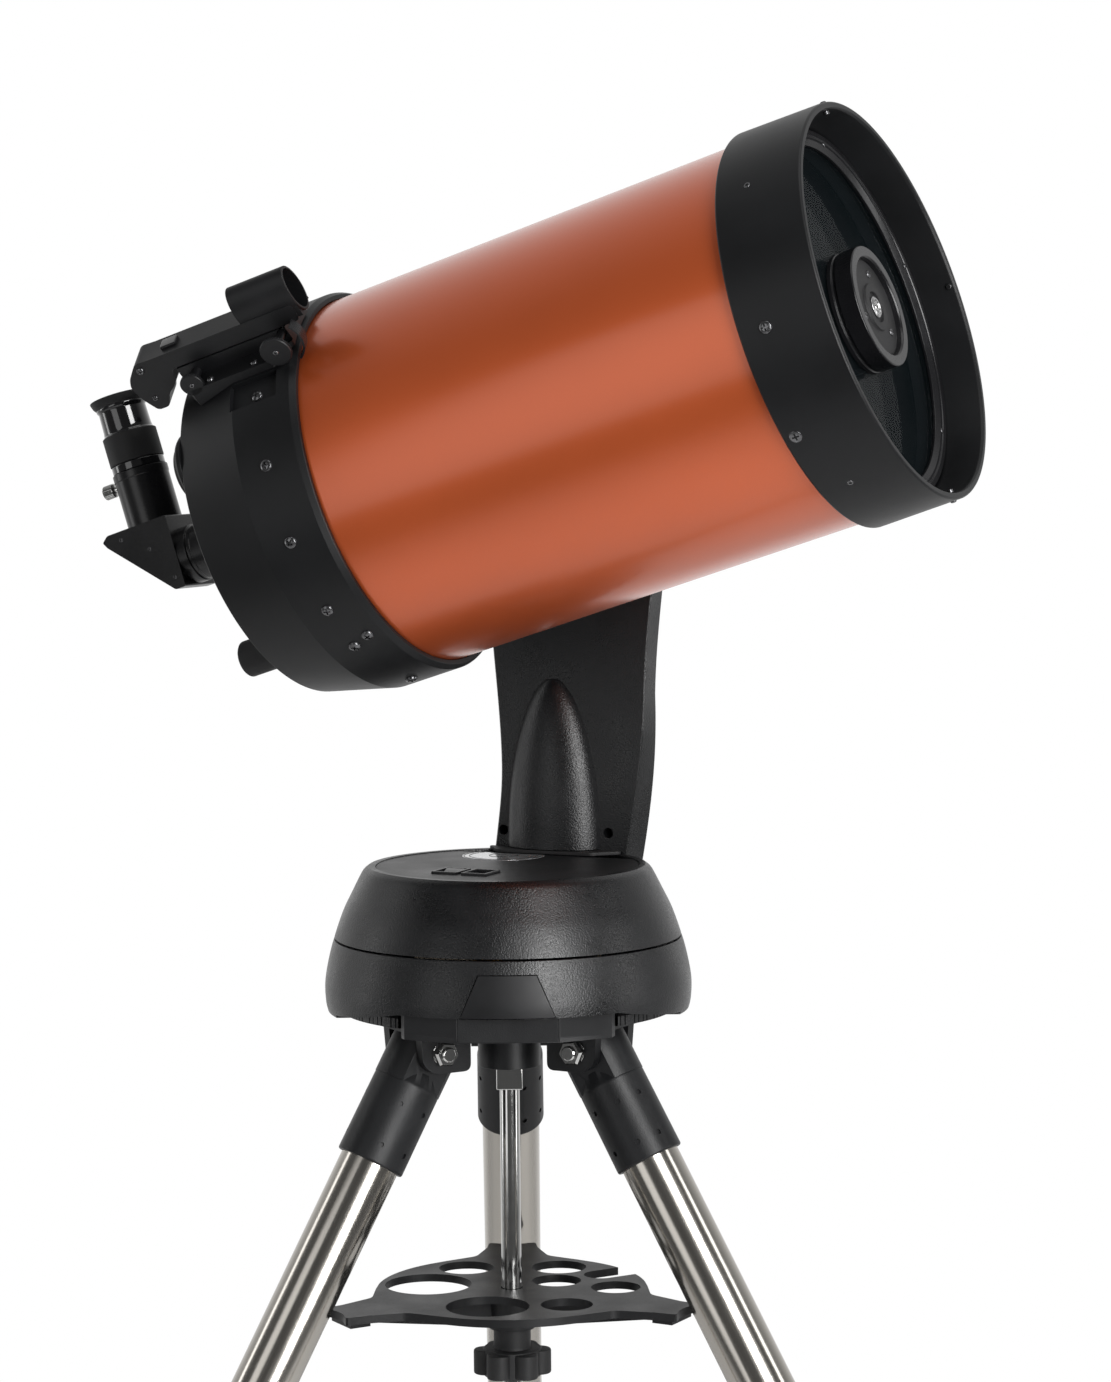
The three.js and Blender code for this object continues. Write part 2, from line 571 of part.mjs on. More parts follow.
function lowerBase(group) {
  const boreR = 26;
  const floor = BASE_BOTTOM + 5;
  const inner = LOWER_PROFILE.slice(1).reverse().map(([r, z]) => [r - SHELL_WALL, z]);
  const profile = [[boreR, BASE_BOTTOM], ...LOWER_PROFILE, ...inner, [boreR, floor]];
  const notch = block([-68, -125, BASE_BOTTOM - 1], [68, -82, HEAD_LUG_TOP + GAP]);
  // The wall's lower edge rises to the front, and leaves the floor's rim below it.
  const rise = slab(outline([
    [-112, BASE_BOTTOM - 1], [-112, BASE_BOTTOM + 1], [-68, HEAD_LUG_TOP + GAP],
    [68, HEAD_LUG_TOP + GAP], [112, BASE_BOTTOM + 1], [112, BASE_BOTTOM - 1],
  ]), -125, -40);
  const floorRim = bar('z', 107, BASE_BOTTOM - 2, HEAD_LUG_TOP + 2, ORIGIN, BASE_SIDES);
  const pocket = slab(panelOutline(GAP), -125, -110);
  const shell = cut(turnedRing('z', profile, BASE_SIDES), notch, cut(rise, floorRim), pocket);
  add(group, 'base_lower_shell', shell, 'blackPaint');
  const grown = LOWER_PROFILE.map(([r, z]) => [r + 0.8, z]);
  const skin = turned('z', [[0, BASE_BOTTOM], ...grown, [0, SEAM_Z - SEAM_GAP]], BASE_SIDES);
  const panel = slab(panelOutline(0), -125, -110 - 2 * GAP).intersect(skin);
  add(group, 'front_panel', panel, 'blackPlastic');

  const [wheelLow, wheelHigh] = AZ_WHEEL_AT;
  const collarR = 23;
  const wheel = [
    [0, floor + GAP], [collarR, floor + GAP], [collarR, wheelLow], [AZ_WHEEL_R, wheelLow],
    [AZ_WHEEL_R, wheelHigh], [collarR, wheelHigh], [collarR, 690], [AZ_PIVOT_R, 690],
    [AZ_PIVOT_R, 716], [0, 716],
  ];
  add(group, 'azimuth_gear', turned('z', wheel, WIDE), 'brass');
}

const window2D = ([x, y], [w, d], low, high) =>
  block([x - w / 2, y - d / 2, low], [x + w / 2, y + d / 2, high]);

function upperBase(group) {
  const deck = DECK_Z - LID_THICKNESS;
  const ledge = deck - 3.4;
  const ledgeR = 66;
  const rim = UPPER_PROFILE.at(-1)[1];
  const inner = UPPER_PROFILE.slice(0, 5).reverse()
    .map(([r, z]) => [r - SHELL_WALL, Math.min(z, ledge)]);
  const profile = [
    ...UPPER_PROFILE, [LID_R + GAP, rim], [LID_R + GAP, deck - GAP], [ledgeR, deck - GAP],
    [ledgeR, ledge], ...inner,
  ];
  const shell = turnedRing('z', profile, BASE_SIDES);
  // A bridge across the battery well carries the bearing, the switch and the jack.
  const bridge = block([-30, -69, deck - 6], [30, 69, deck - GAP]);
  const bearing = bar('z', 26, 691, deck - 1, ORIGIN, ROUND);
  const bore = bar('z', AZ_PIVOT_R + GAP, 680, 720, ORIGIN, ROUND);
  const [switchHole, jackHole] = [SWITCH_AT, JACK_AT].map((at) =>
    window2D(at, SOCKET_SIZE, deck - 12, deck + 5));
  const whole = cut(joined(shell, bridge, bearing), bore, switchHole, jackHole);
  add(group, 'base_upper_shell', whole, 'blackPaint');

  const lid = cut(
    bar('z', LID_R, deck, DECK_Z, ORIGIN, BASE_SIDES),
    block([-100, LID_BACK, deck - 1], [100, 100, DECK_Z + 1]),
    window2D(SWITCH_AT, LID_WINDOW, deck - 1, DECK_Z + 1),
    window2D(JACK_AT, LID_WINDOW, deck - 1, DECK_Z + 1),
  );
  add(group, 'battery_cover', lid, 'blackPlastic');
  const rocker = outline([[-7.9, -4], [7.9, -4], [7.9, 4.8], [0, 3], [-7.9, 4.8]]);
  const tilted = slab(rocker, -6.4, 6.4).rotate([0, -SWITCH_TILT, 90]);
  add(group, 'power_switch', tilted.translate([...SWITCH_AT, deck]), 'gloss');
  const jack = cut(
    window2D(JACK_AT, SOCKET_SIZE.map((side) => side - 2 * GAP), deck - 10, deck + 4.5),
    bar('z', 3.2, deck - 6, deck + 6, [...JACK_AT, 0], SMALL),
  );
  add(group, 'power_jack', jack, 'gloss');
  // Batteries side by side on a tray.
  const cellEnds = [-88, -36];
  const firstY = -22;
  const lastY = firstY + CELL_PITCH * (CELL_COUNT - 1);
  const cells = [block([cellEnds[0] + 2, firstY - 3, 707.5], [cellEnds[1] - 2, lastY, 712])];
  for (let i = 0; i < CELL_COUNT; i += 1) {
    cells.push(bar('x', CELL_BODY_R, ...cellEnds, [0, firstY + CELL_PITCH * i, 716], SMALL));
  }
  add(group, 'battery_pack', joined(...cells), 'blackPlastic');

  const wormY = -(AZ_WHEEL_R + WORM_R + WORM_GAP);
  const worm = [
    [0, -24], [3, -24], [3, -18], [WORM_R, -16], [WORM_R, 16], [3, 18], [3, 30], [0, 30],
  ];
  add(group, 'azimuth_worm', turned('x', worm, SMALL, [0, wormY, AZ_WORM_Z]), 'steel');
  const motor = joined(
    block([34, wormY - 12, 668], [46, wormY + 12, 700]),
    bar('x', 12, 46, 82, [0, wormY + 16, 684], ROUND),
    block([40, wormY, 676], [50, wormY + 16, 692]),
  );
  add(group, 'azimuth_motor', motor, 'blackPlastic');
}

// ---- fork arm ---------------------------------------------------------------
// Outline of the arm in X and Z: a round head on a waisted neck. The foot's front corner flares.
function armOutline(inset, footZ, flare = 0) {
  const r = ARM_HEAD_R - inset;
  const front = flare - inset;
  const shape = new THREE.Shape();
  shape.moveTo(-50 + inset, footZ);
  shape.bezierCurveTo(-42 + inset, 762, -39.5 + inset, 775, -39.5 + inset, 797);
  shape.bezierCurveTo(-40 + inset, 850, ALT_AXIS_X - r, 900, ALT_AXIS_X - r, ALT_AXIS_Z);
  shape.absarc(ALT_AXIS_X, ALT_AXIS_Z, r, Math.PI, 0, true);
  shape.bezierCurveTo(ALT_AXIS_X + r, 930, 65.5 - inset, 900, 64 - inset, 845);
  shape.bezierCurveTo(62.5 + front / 2 - inset / 2, 810, 58 + front, 775, 43 + front, footZ);
  return shape;
}

// Skin through the arm's outline at several depths, each with its own inset and flare.
function armSkin(depths, footZ, margin = 0) {
  const rings = depths.map(([depth, inset, flare = 0]) =>
    armOutline(inset + margin, footZ, flare).getPoints(ARM_STEPS)
      .slice(0, -1).map((point) => [point.x, depth, point.y]));
  return lofted(rings);
}

// Rounded boss on the arm's inner face, above the base. It narrows and flattens towards its top.
function archBoss() {
  const [foot, apex] = [744, 856];
  const [halfWidth, swell, base] = [34, 17, 4];
  const [layers, steps] = [8, 12];
  const rings = [];
  for (let i = 0; i <= layers; i += 1) {
    const t = i / (layers + 0.25);
    const spread = (1 - t * t) ** 0.52;
    const ring = [];
    for (let j = 0; j <= steps; j += 1) {
      const a = Math.PI * j / steps;
      const depth = ARM_FACE + base - (base + swell * spread) * Math.sin(a);
      ring.push([BOSS_X - halfWidth * spread * Math.cos(a), depth, foot + (apex - foot) * t]);
    }
    rings.push(ring);
  }
  return lofted(rings);
}

function forkArm(group) {
  const carve = upperEnvelope(GAP);
  const shaftAt = [ALT_AXIS_X, 0, ALT_AXIS_Z];
  const shaftBore = bar('y', ALT_SHAFT_R + GAP, ARM_FACE - 5, ARM_SPLIT + 5, shaftAt, ROUND);
  const inner = joined(armSkin([[ARM_FACE, 0, 0], [ARM_SPLIT, 0, 5]], ARM_FOOT), archBoss());
  add(group, 'fork_arm', cut(inner, shaftBore, carve), 'blackPaint');

  // The outer cover is a shell that narrows towards its back and slopes in towards the foot.
  const footSlope = solid(new THREE.BoxGeometry(240, 60, 260).rotateX(-0.13)
    .translate(0, ARM_BACK + 13.5, 740));
  const skin = cut(armSkin(COVER_DEPTHS, ARM_FOOT), footSlope);
  const hollow = armSkin([[ARM_SPLIT - 5, 4], [ARM_SPLIT + 12, 9], [ARM_BACK - 8, 26]], 760);
  add(group, 'arm_cover', cut(skin, hollow, carve), 'blackPaint');
}

// ---- tripod -------------------------------------------------------------------
// X runs outwards from the azimuth axis, Y along the hinge pin.
function hingeEars() {
  const side = outline([
    [42, HEAD_TOP - 4], [78, HEAD_TOP - 4], [76, 622], [68, 616], [48, 616], [42, 622],
  ]);
  const hole = bar('y', PIN_R + GAP, -40, 40, [HINGE_R, 0, HINGE_Z], SMALL);
  const ears = [[-EAR_OUTER, -EAR_INNER], [EAR_INNER, EAR_OUTER]].map(([a, b]) => slab(side, a, b));
  return cut(joined(...ears), hole);
}

function tripodHead(group) {
  const cornerSpread = 24;              // degrees
  const corners = LEG_AZIMUTHS.flatMap((azimuth) => [-cornerSpread, cornerSpread].map((offset) => {
    const a = THREE.MathUtils.degToRad(azimuth + offset);
    return [HEAD_CORNER_R * Math.cos(a), HEAD_CORNER_R * Math.sin(a)];
  }));
  const top = plate(outline(corners), HEAD_TOP - 5, HEAD_TOP);
  const lug = plate(outline([...HEAD_LUG, [40, -60], [-40, -60]]), HEAD_TOP - 5, HEAD_TOP - 1);
  const lugFace = plate(outline(HEAD_LUG), HEAD_TOP - 3, HEAD_LUG_TOP);
  const boss = bar('z', 20, 612, HEAD_TOP - 2, ORIGIN, ROUND);
  const ears = LEG_AZIMUTHS.map((azimuth) => hingeEars().rotate([0, 0, azimuth]));
  const rodBore = bar('z', ROD_R + GAP, 600, 640, ORIGIN, SMALL);
  add(group, 'tripod_head', cut(joined(top, lug, lugFace, boss, ...ears), rodBore), 'blackPaint');
}

function hingeBolt() {
  const shank = EAR_OUTER + 2;
  const head = EAR_OUTER + GAP;
  return joined(
    bar('y', PIN_R, -shank, shank, ORIGIN, SMALL),
    bar('y', BOLT_HEAD_R, -head - BOLT_HEAD_HEIGHT, -head, ORIGIN, 6),
    bar('y', BOLT_HEAD_R, head, head + BOLT_HEAD_HEIGHT, ORIGIN, 6),
  );
}

function legSleeve() {
  const half = EAR_INNER - GAP;
  const neckR = 17;
  const socket = [
    [0, -SLEEVE_END], [SLEEVE_R, -SLEEVE_END], [SLEEVE_R, -24], [neckR, -15.5], [0, -15.5],
  ];
  const tongue = joined(
    bar('y', 15, -half, half, ORIGIN, ROUND),
    block([-15, -half, -26], [15, half, 0]),
    turned('z', socket, ROUND),
  );
  return cut(
    tongue,
    bar('y', PIN_R + GAP, -30, 30, ORIGIN, SMALL),
    bar('z', LEG_R + GAP, -SLEEVE_END - 5, -TUBE_START, ORIGIN, ROUND),
  );
}

function legClamp(knobZ) {
  const profile = [
    [0, -COLLAR_END], [20.5, -COLLAR_END], [23, -COLLAR_END + 3], [23, -COLLAR_START - 2],
    [21.5, -COLLAR_START], [0, -COLLAR_START],
  ];
  const lug = block([0, -9, knobZ - 11], [31, 9, knobZ + 11]);
  return cut(
    joined(turned('z', profile, ROUND), lug),
    bar('z', LEG_R + GAP, -LEG_END - GAP, -COLLAR_START + 5, ORIGIN, ROUND),
    bar('z', EXTENSION_R + GAP, -COLLAR_END - 5, -LEG_END, ORIGIN, ROUND),
    bar('x', 3.4, 10, 40, [0, 0, knobZ], TINY),
  );
}

// The foot is cut level with the ground, which the leg's line meets at LEG_LENGTH.
function legFoot() {
  const profile = [
    [0, -LEG_LENGTH - 30], [FOOT_R, -LEG_LENGTH - 30], [20, -FOOT_START - 8], [17.6, -FOOT_START],
    [0, -FOOT_START],
  ];
  const socketEnd = -FOOT_START - FOOT_SOCKET - GAP;
  const socket = bar('z', EXTENSION_R + GAP, socketEnd, -FOOT_START + 5, ORIGIN, ROUND);
  const ground = solid(new THREE.BoxGeometry(200, 200, 100).translate(0, 0, -50)
    .rotateY(LEG_ANGLE).translate(0, 0, -LEG_LENGTH));
  return cut(turned('z', profile, ROUND), socket, ground);
}

// A leg's own frame: origin at the hinge pin, Y along the pin, -Z down the leg.
function leg(group, number, azimuth) {
  const frame = new THREE.Group();
  frame.rotation.z = THREE.MathUtils.degToRad(azimuth);
  group.add(frame);
  const hinge = new THREE.Group();
  hinge.position.set(HINGE_R, 0, HINGE_Z);
  frame.add(hinge);
  add(hinge, `hinge_bolt_${number}`, hingeBolt(), 'chrome');

  const shank = new THREE.Group();
  shank.rotation.y = -LEG_ANGLE;
  hinge.add(shank);
  add(shank, `leg_sleeve_${number}`, legSleeve(), 'blackPlastic');
  const legTube = pipe('z', LEG_R, LEG_R - LEG_WALL, -LEG_END, -TUBE_START - GAP, ORIGIN, ROUND);
  add(shank, `leg_tube_${number}`, legTube, 'steel');

  const knobZ = -COLLAR_END + 13;
  add(shank, `leg_clamp_${number}`, legClamp(knobZ), 'blackPlastic');
  const knob = [
    [0, 17.5], [3, 17.5], [3, 31.6], [7, 31.6], [11, 36], [11, 46], [9.5, 48], [0, 48],
  ];
  add(shank, `leg_clamp_knob_${number}`, turned('x', knob, SMALL, [0, 0, knobZ]), 'rubber');

  const ends = [-FOOT_START - FOOT_SOCKET, -EXTENSION_START];
  const extension = pipe('z', EXTENSION_R, EXTENSION_R - EXTENSION_WALL, ...ends, ORIGIN, ROUND);
  add(shank, `leg_extension_${number}`, extension, 'steel');
  add(shank, `leg_foot_${number}`, legFoot(), 'rubber');
}

// The tray braces the legs: three arms reach the tubes, and its holes hold eyepieces.
function trayOutline() {
  const radians = THREE.MathUtils.degToRad;
  const shape = new THREE.Shape();
  LEG_AZIMUTHS.forEach((azimuth, i) => {
    const polar = (r, offset) =>
      [r * Math.cos(radians(azimuth + offset)), r * Math.sin(radians(azimuth + offset))];
    if (i === 0) shape.moveTo(...polar(TRAY_R, -30));
    shape.lineTo(...polar(TRAY_R + 5, -14));
    shape.lineTo(...polar(TRAY_TIP_R, -6.5));
    shape.lineTo(...polar(TRAY_TIP_R - 5, 0));
    shape.lineTo(...polar(TRAY_TIP_R, 6.5));
    shape.lineTo(...polar(TRAY_R + 5, 14));
    shape.lineTo(...polar(TRAY_R, 30));
    shape.absarc(0, 0, TRAY_R, radians(azimuth + 30), radians(azimuth + 90), false);
  });
  shape.closePath();
  for (const { at, r } of [...TRAY_HOLES, { at: [0, 0], r: ROD_R + 0.8 }]) {
    const hole = new THREE.Path();
    hole.absarc(...at, r, 0, Math.PI * 2, true);
    shape.holes.push(hole);
  }
  return shape;
}

function accessoryTray(group) {
  const under = TRAY_Z - TRAY_THICKNESS;
  const hubLow = TRAY_Z - TRAY_HUB_DEPTH;
  const hub = pipe('z', 15, ROD_R + 0.8, hubLow, under + 1, ORIGIN, ROUND);
  const { at, r, azimuth: notchAzimuth } = TRAY_NOTCH;
  const notch = joined(
    bar('z', r, hubLow, TRAY_Z + 1, [at, 0, 0], ROUND),
    block([at, -r, hubLow], [TRAY_R + 5, r, TRAY_Z + 1]),
  ).rotate([0, 0, notchAzimuth]);
  const deck = cut(plate(trayOutline(), under, TRAY_Z, 9), notch);
  const ribEnd = TRAY_TIP_R - 14;
  const ribSide = outline([
    [11, hubLow + 2], [ribEnd, under - 2], [ribEnd, under + 0.5], [11, under + 0.5],
  ]);
  const ribs = LEG_AZIMUTHS.map((azimuth) => slab(ribSide, -1.5, 1.5).rotate([0, 0, azimuth]));
  const holes = TRAY_HOLES.map((hole) => bar('z', hole.r, hubLow - 4, under, [...hole.at, 0], ROUND));
  add(group, 'accessory_tray', joined(deck, cut(joined(...ribs), ...holes), hub), 'blackPlastic');
}

function trayKnobAndRod(group) {
  const collarR = 8.5;
  const rod = [
    [0, ROD_LOW], [ROD_R, ROD_LOW], [ROD_R, 596], [collarR, 598], [collarR, 611], [ROD_R, 611.4],
    [ROD_R, 636], [0, 636],
  ];
  add(group, 'centre_rod', turned('z', rod, SMALL), 'chrome');
  const low = ROD_LOW + 6;
  const lobeAt = 17;
  const pieces = [
    bar('z', 19, low, low + 18, ORIGIN, ROUND),
    bar('z', 12, low + 13, TRAY_Z - TRAY_HUB_DEPTH - GAP, ORIGIN, ROUND),
  ];
  for (let i = 0; i < KNOB_LOBES; i += 1) {
    const a = 2 * Math.PI * i / KNOB_LOBES;
    const at = [lobeAt * Math.cos(a), lobeAt * Math.sin(a), 0];
    pieces.push(bar('z', 8, low + 1, low + 17, at, TINY));
  }
  const bore = bar('z', ROD_R + GAP, ROD_LOW - 4, TRAY_Z, ORIGIN, SMALL);
  add(group, 'tray_knob', cut(joined(...pieces), bore), 'rubber');
}

// ---- assembly -------------------------------------------------------------------
const root = new THREE.Group();

tripodHead(root);
LEG_AZIMUTHS.forEach((azimuth, i) => leg(root, i + 1, azimuth));
trayKnobAndRod(root);
accessoryTray(root);
lowerBase(root);

const head = new THREE.Group();
head.rotation.z = HEADING;
root.add(head);
upperBase(head);
forkArm(head);

const tube = new THREE.Group();
tube.position.set(ALT_AXIS_X, TUBE_SIDE, ALT_AXIS_Z);
tube.rotation.y = -ALTITUDE;
head.add(tube);
opticalTube(tube);
rearCell(tube);
focusKnob(tube);
visualBack(tube);
starDiagonal(tube);
dovetail(tube);
saddle(tube);
altitudeDrive(tube, head);

const sight = new THREE.Group();
sight.rotation.x = Math.PI / 2 - FINDER_ROLL;
tube.add(sight);
finder(sight);

// The part's origin is the middle of the bottom of its box.
root.updateMatrixWorld(true);
const box = new THREE.Box3().setFromObject(root, true);
const middle = box.getCenter(new THREE.Vector3());
root.position.set(-middle.x, -middle.y, -box.min.z);

export default root;
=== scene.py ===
"""A single-arm Schmidt-Cassegrain telescope: the finished surfaces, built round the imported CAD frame.

Pieces are drawn in millimetres, each in the frame of the assembly that it belongs to, and placed
by that frame's matrix. The frames come from the record's joints.
"""

import json
import math

import bmesh
import bpy
from mathutils import Matrix, Vector


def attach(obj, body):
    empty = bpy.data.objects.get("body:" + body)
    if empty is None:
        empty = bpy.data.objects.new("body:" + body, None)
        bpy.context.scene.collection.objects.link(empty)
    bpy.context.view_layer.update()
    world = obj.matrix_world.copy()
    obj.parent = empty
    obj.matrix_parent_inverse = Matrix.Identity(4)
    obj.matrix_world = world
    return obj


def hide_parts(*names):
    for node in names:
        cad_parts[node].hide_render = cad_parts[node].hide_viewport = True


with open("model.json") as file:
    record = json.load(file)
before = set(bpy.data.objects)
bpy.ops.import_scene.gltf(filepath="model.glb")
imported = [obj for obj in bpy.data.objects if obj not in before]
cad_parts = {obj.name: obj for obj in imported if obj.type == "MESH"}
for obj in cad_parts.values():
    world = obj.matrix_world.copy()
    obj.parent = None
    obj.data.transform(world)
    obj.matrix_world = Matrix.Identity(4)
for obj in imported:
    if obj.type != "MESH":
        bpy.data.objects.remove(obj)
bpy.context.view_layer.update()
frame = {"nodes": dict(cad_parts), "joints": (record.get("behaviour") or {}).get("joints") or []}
MM = 0.001
JOINTS = {joint["name"]: joint for joint in frame["joints"]}

# ---- sizes, in millimetres --------------------------------------------------
TUBE_R, CELL_R = 115.5, 120.8
FRONT_RIM, FRONT_CELL_BACK = 302, 248.2
REAR_CELL_FRONT, REAR_CELL_CREASE, REAR_CELL_BACK, REAR_CELL_BACK_R = -32.6, -76.6, -122.5, 110
BACK_HUB_R, BACK_CAP_AT = 48, (-80.4, 35.8)
CORRECTOR_FACE, CORRECTOR_R, CLEAR_APERTURE_R = 275, 111, 101.6
SECONDARY_R, SECONDARY_FACE = 36.5, 291.5
EYEPIECE_X, HOLDER_TOP, EYEPIECE_TOP = -209.5, 62, 110.5
FINDER_AXIS, FINDER_HOOD_R, FINDER_HOOD_WIDTH, FINDER_ROLL = 150.4, 15.5, 0.62, 50
BAR_NEAR, BAR_FAR, SADDLE_BACK = 128, 142, 160
ARM_FACE, ARM_SPLIT, ARM_BACK, ARM_HEAD_R, ARM_FOOT = 75, 92, 138, 63, 705
ALT_AXIS_X, ALT_AXIS_Z, TUBE_SIDE = 12, 1000, -100.4
BASE_BOTTOM, SEAM_Z, DECK_Z, LID_R = 650, 696, 741, 83.8
HINGE_R, LEG_R, EXTENSION_R, SLEEVE_END = 61.7, 19.05, 15.9, 80
LEG_END, COLLAR_END, FOOT_START = 628, 656, 692
EAR_INNER, EAR_OUTER, PIN_R = 17.6, 25, 5
TRAY_Z, TRAY_R, TRAY_TIP_R, TRAY_THICKNESS = 467, 87, 129.5, 5
ROD_R, ROD_END = 6.4, 404
GAP = 0.4   # between two pieces that fit each other
LEG_AZIMUTHS = (90, 210, 330)
LEG_TILT, PIN_Z = 30.1, 629
HINGE_TO_GROUND = PIN_Z / math.cos(math.radians(LEG_TILT))

# Optical tube: wall, how far it goes into the cells, and the back plate's thickness
TUBE_WALL, SEAT, BACK_PLATE = 1.6, 14, 6
SECONDARY_HUB_R = SECONDARY_R - 3
FOCUS_AT = (-22, -76)                # the focus knob's Y and Z
TILT_KNOB_AT = (-38, 0, 130)         # in the finder's frame
LOCK_KNOB_AT = (-101, 0, 127)
DIAGONAL_SCREW_AT = (0, 0, 55.5)

# Dovetail: half widths at its two faces, ends along the tube, and the saddle's half length
BAR_HALF, BAR_HALF_NARROW, BAR_ENDS, JAW_HALF = 22, 17, (-74, 286), 55
JAW_OUTER = BAR_HALF + 14

# Base: outer outlines as (radius, height), then what sits on the deck as (x, y)
LOWER_PROFILE = [(115.4, BASE_BOTTOM), (116.6, 655), (117.2, 663), (116.9, 670), (115.5, 678.5),
                 (113.2, 688.6), (111.2, SEAM_Z - 0.6)]
UPPER_PROFILE = [(110.8, SEAM_Z + 0.6), (108.4, 704), (104.5, 714.4), (99.4, 724.7), (94.2, 735),
                 (91.6, 739.2), (88.5, 741.6)]
BASE_WALL, FLOOR_TOP, LUG_TOP, HEAD_TOP = 3.2, 655, 660, BASE_BOTTOM - GAP
DECK, LID_BACK = DECK_Z - 4, ARM_FACE - 20
SWITCH_AT, JACK_AT, DISC_AT = (-17.2, -46), (3.6, -46.3), (-23.6, 44, 0)

# Tray: round holes as ((x, y), radius), and a notch that opens to the edge
TRAY_HOLES = [((-54, 11), 28), ((-30, 56), 18), ((31, 55), 18), ((29, 17), 16), ((67, -3), 16),
              ((-15, -51), 26.5), ((35, -48), 16.5)]
TRAY_NOTCH, NOTCH_R, NOTCH_AZIMUTH = 66.5, 11, 29.3

# Camera: place from the azimuth axis on the ground, angles in degrees, lens on a 36 mm sensor
CAMERA_FROM_AXIS = (14.877, -2378.06, 1037.12)
CAMERA_HEADING, CAMERA_PITCH, CAMERA_ROLL = 0.41, -4.45, -0.55
CAMERA_LENS, SENSOR = 121.42, 36


# ---- frames -----------------------------------------------------------------
def axis_of(name):
    return Vector(JOINTS[name]["axis"]).normalized()


def position_of(name):
    return Vector(JOINTS[name]["pos_m"])


def placed(origin, x, y, z):
    matrix = Matrix((x, y, z)).transposed().to_4x4()
    matrix.translation = origin
    return matrix


UP = Vector((0, 0, 1))
ground = position_of("azimuth_turn")
ground.z = 0
to_arm = -axis_of("altitude_turn")
optical = axis_of("tube_balance")
tube_origin = position_of("altitude_turn") - to_arm * (ARM_FACE - TUBE_SIDE) * MM

GROUND = placed(ground, Vector((1, 0, 0)), Vector((0, 1, 0)), UP)
HEAD = placed(ground, to_arm.cross(UP), to_arm, UP)
TUBE = placed(tube_origin, optical, to_arm, optical.cross(to_arm))
FINDER = TUBE @ Matrix.Rotation(math.radians(90 - FINDER_ROLL), 4, "X")


def leg_frame(number):
    """Origin at the leg's hinge pin, Y along the pin and Z up the leg."""
    pin, up = axis_of(f"leg_fold_{number}"), -axis_of(f"leg_extend_{number}")
    return placed(position_of(f"leg_fold_{number}"), pin.cross(up), pin, up)


# ---- solids: (vertices, faces) in millimetres --------------------------------
def softened(points, radius, closed=False, steps=3):
    """Rounds each corner of an outline."""
    points = [Vector(point) for point in points]
    count, rounded = len(points), []
    for i, corner in enumerate(points):
        back, ahead = points[i - 1] - corner, points[(i + 1) % count] - corner
        end = not closed and i in (0, count - 1)
        reach = min(radius, 0.42 * back.length, 0.42 * ahead.length)
        if end or reach < 1e-3 or math.pi - back.angle(ahead) < math.radians(14):
            rounded.append(corner)
            continue
        start, stop = corner + back.normalized() * reach, corner + ahead.normalized() * reach
        for k in range(steps + 1):
            t = k / steps
            rounded.append(start * (1 - t) ** 2 + corner * 2 * t * (1 - t) + stop * t * t)
    return [tuple(point) for point in rounded]


def polar(radius, degrees):
    angle = math.radians(degrees)
    return (radius * math.cos(angle), radius * math.sin(angle))


def arc(centre, radius, start, stop, steps):
    """Points of an arc between two angles in degrees, both ends included."""
    turns = [start + (stop - start) * k / steps for k in range(steps + 1)]
    return [(centre[0] + polar(radius, turn)[0], centre[1] + polar(radius, turn)[1]) for turn in turns]


def bezier(a, b, c, d, steps=16):
    """Points of a cubic curve, without its first point."""
    points = []
    for k in range(1, steps + 1):
        t = k / steps
        weights = ((1 - t) ** 3, 3 * t * (1 - t) ** 2, 3 * t * t * (1 - t), t**3)
        points.append(tuple(sum(w * p[i] for w, p in zip(weights, (a, b, c, d))) for i in (0, 1)))
    return points


ORDER = {"x": (2, 0, 1), "y": (1, 2, 0), "z": (0, 1, 2)}


def along(axis, a, b, h):
    """A point at height h on an axis, with a and b across it."""
    flat = (a, b, h)
    return tuple(flat[i] for i in ORDER[axis])


def turned(axis, profile, at=(0, 0, 0), sides=64, closed=False, soft=0.5, ribs=None):
    """A lathed solid. ribs = (count, depth, low, high) cuts grooves between two heights."""
    verts, rings = [], []
    for r, h in softened(profile, soft, closed):
        if abs(r) < 1e-6:
            rings.append([len(verts)])
            verts.append(along(axis, 0, 0, h))
            continue
        rings.append(list(range(len(verts), len(verts) + sides)))
        for k in range(sides):
            angle = 2 * math.pi * k / sides
            radius = r
            if ribs and ribs[2] <= h <= ribs[3]:
                radius -= ribs[1] * (0.5 - 0.5 * math.cos(ribs[0] * angle)) ** 2
            verts.append(along(axis, radius * math.cos(angle), radius * math.sin(angle), h))
    faces = []
    pairs = list(zip(rings, rings[1:])) + ([(rings[-1], rings[0])] if closed else [])
    for low, high in pairs:
        for k in range(sides):
            n = (k + 1) % sides
            corners = [low[k % len(low)], low[n % len(low)], high[n % len(high)], high[k % len(high)]]
            unique = list(dict.fromkeys(corners))
            if len(unique) > 2:
                faces.append(unique)
    return [tuple(v[i] + at[i] for i in range(3)) for v in verts], faces


def bar(axis, r, start, end, at=(0, 0, 0), sides=48, soft=0.4):
    return turned(axis, [(0, start), (r, start), (r, end), (0, end)], at, sides, soft=soft)


def pipe(axis, outer, inner, start, end, at=(0, 0, 0), sides=64, soft=0.3):
    profile = [(inner, start), (outer, start), (outer, end), (inner, end)]
    return turned(axis, profile, at, sides, closed=True, soft=soft)


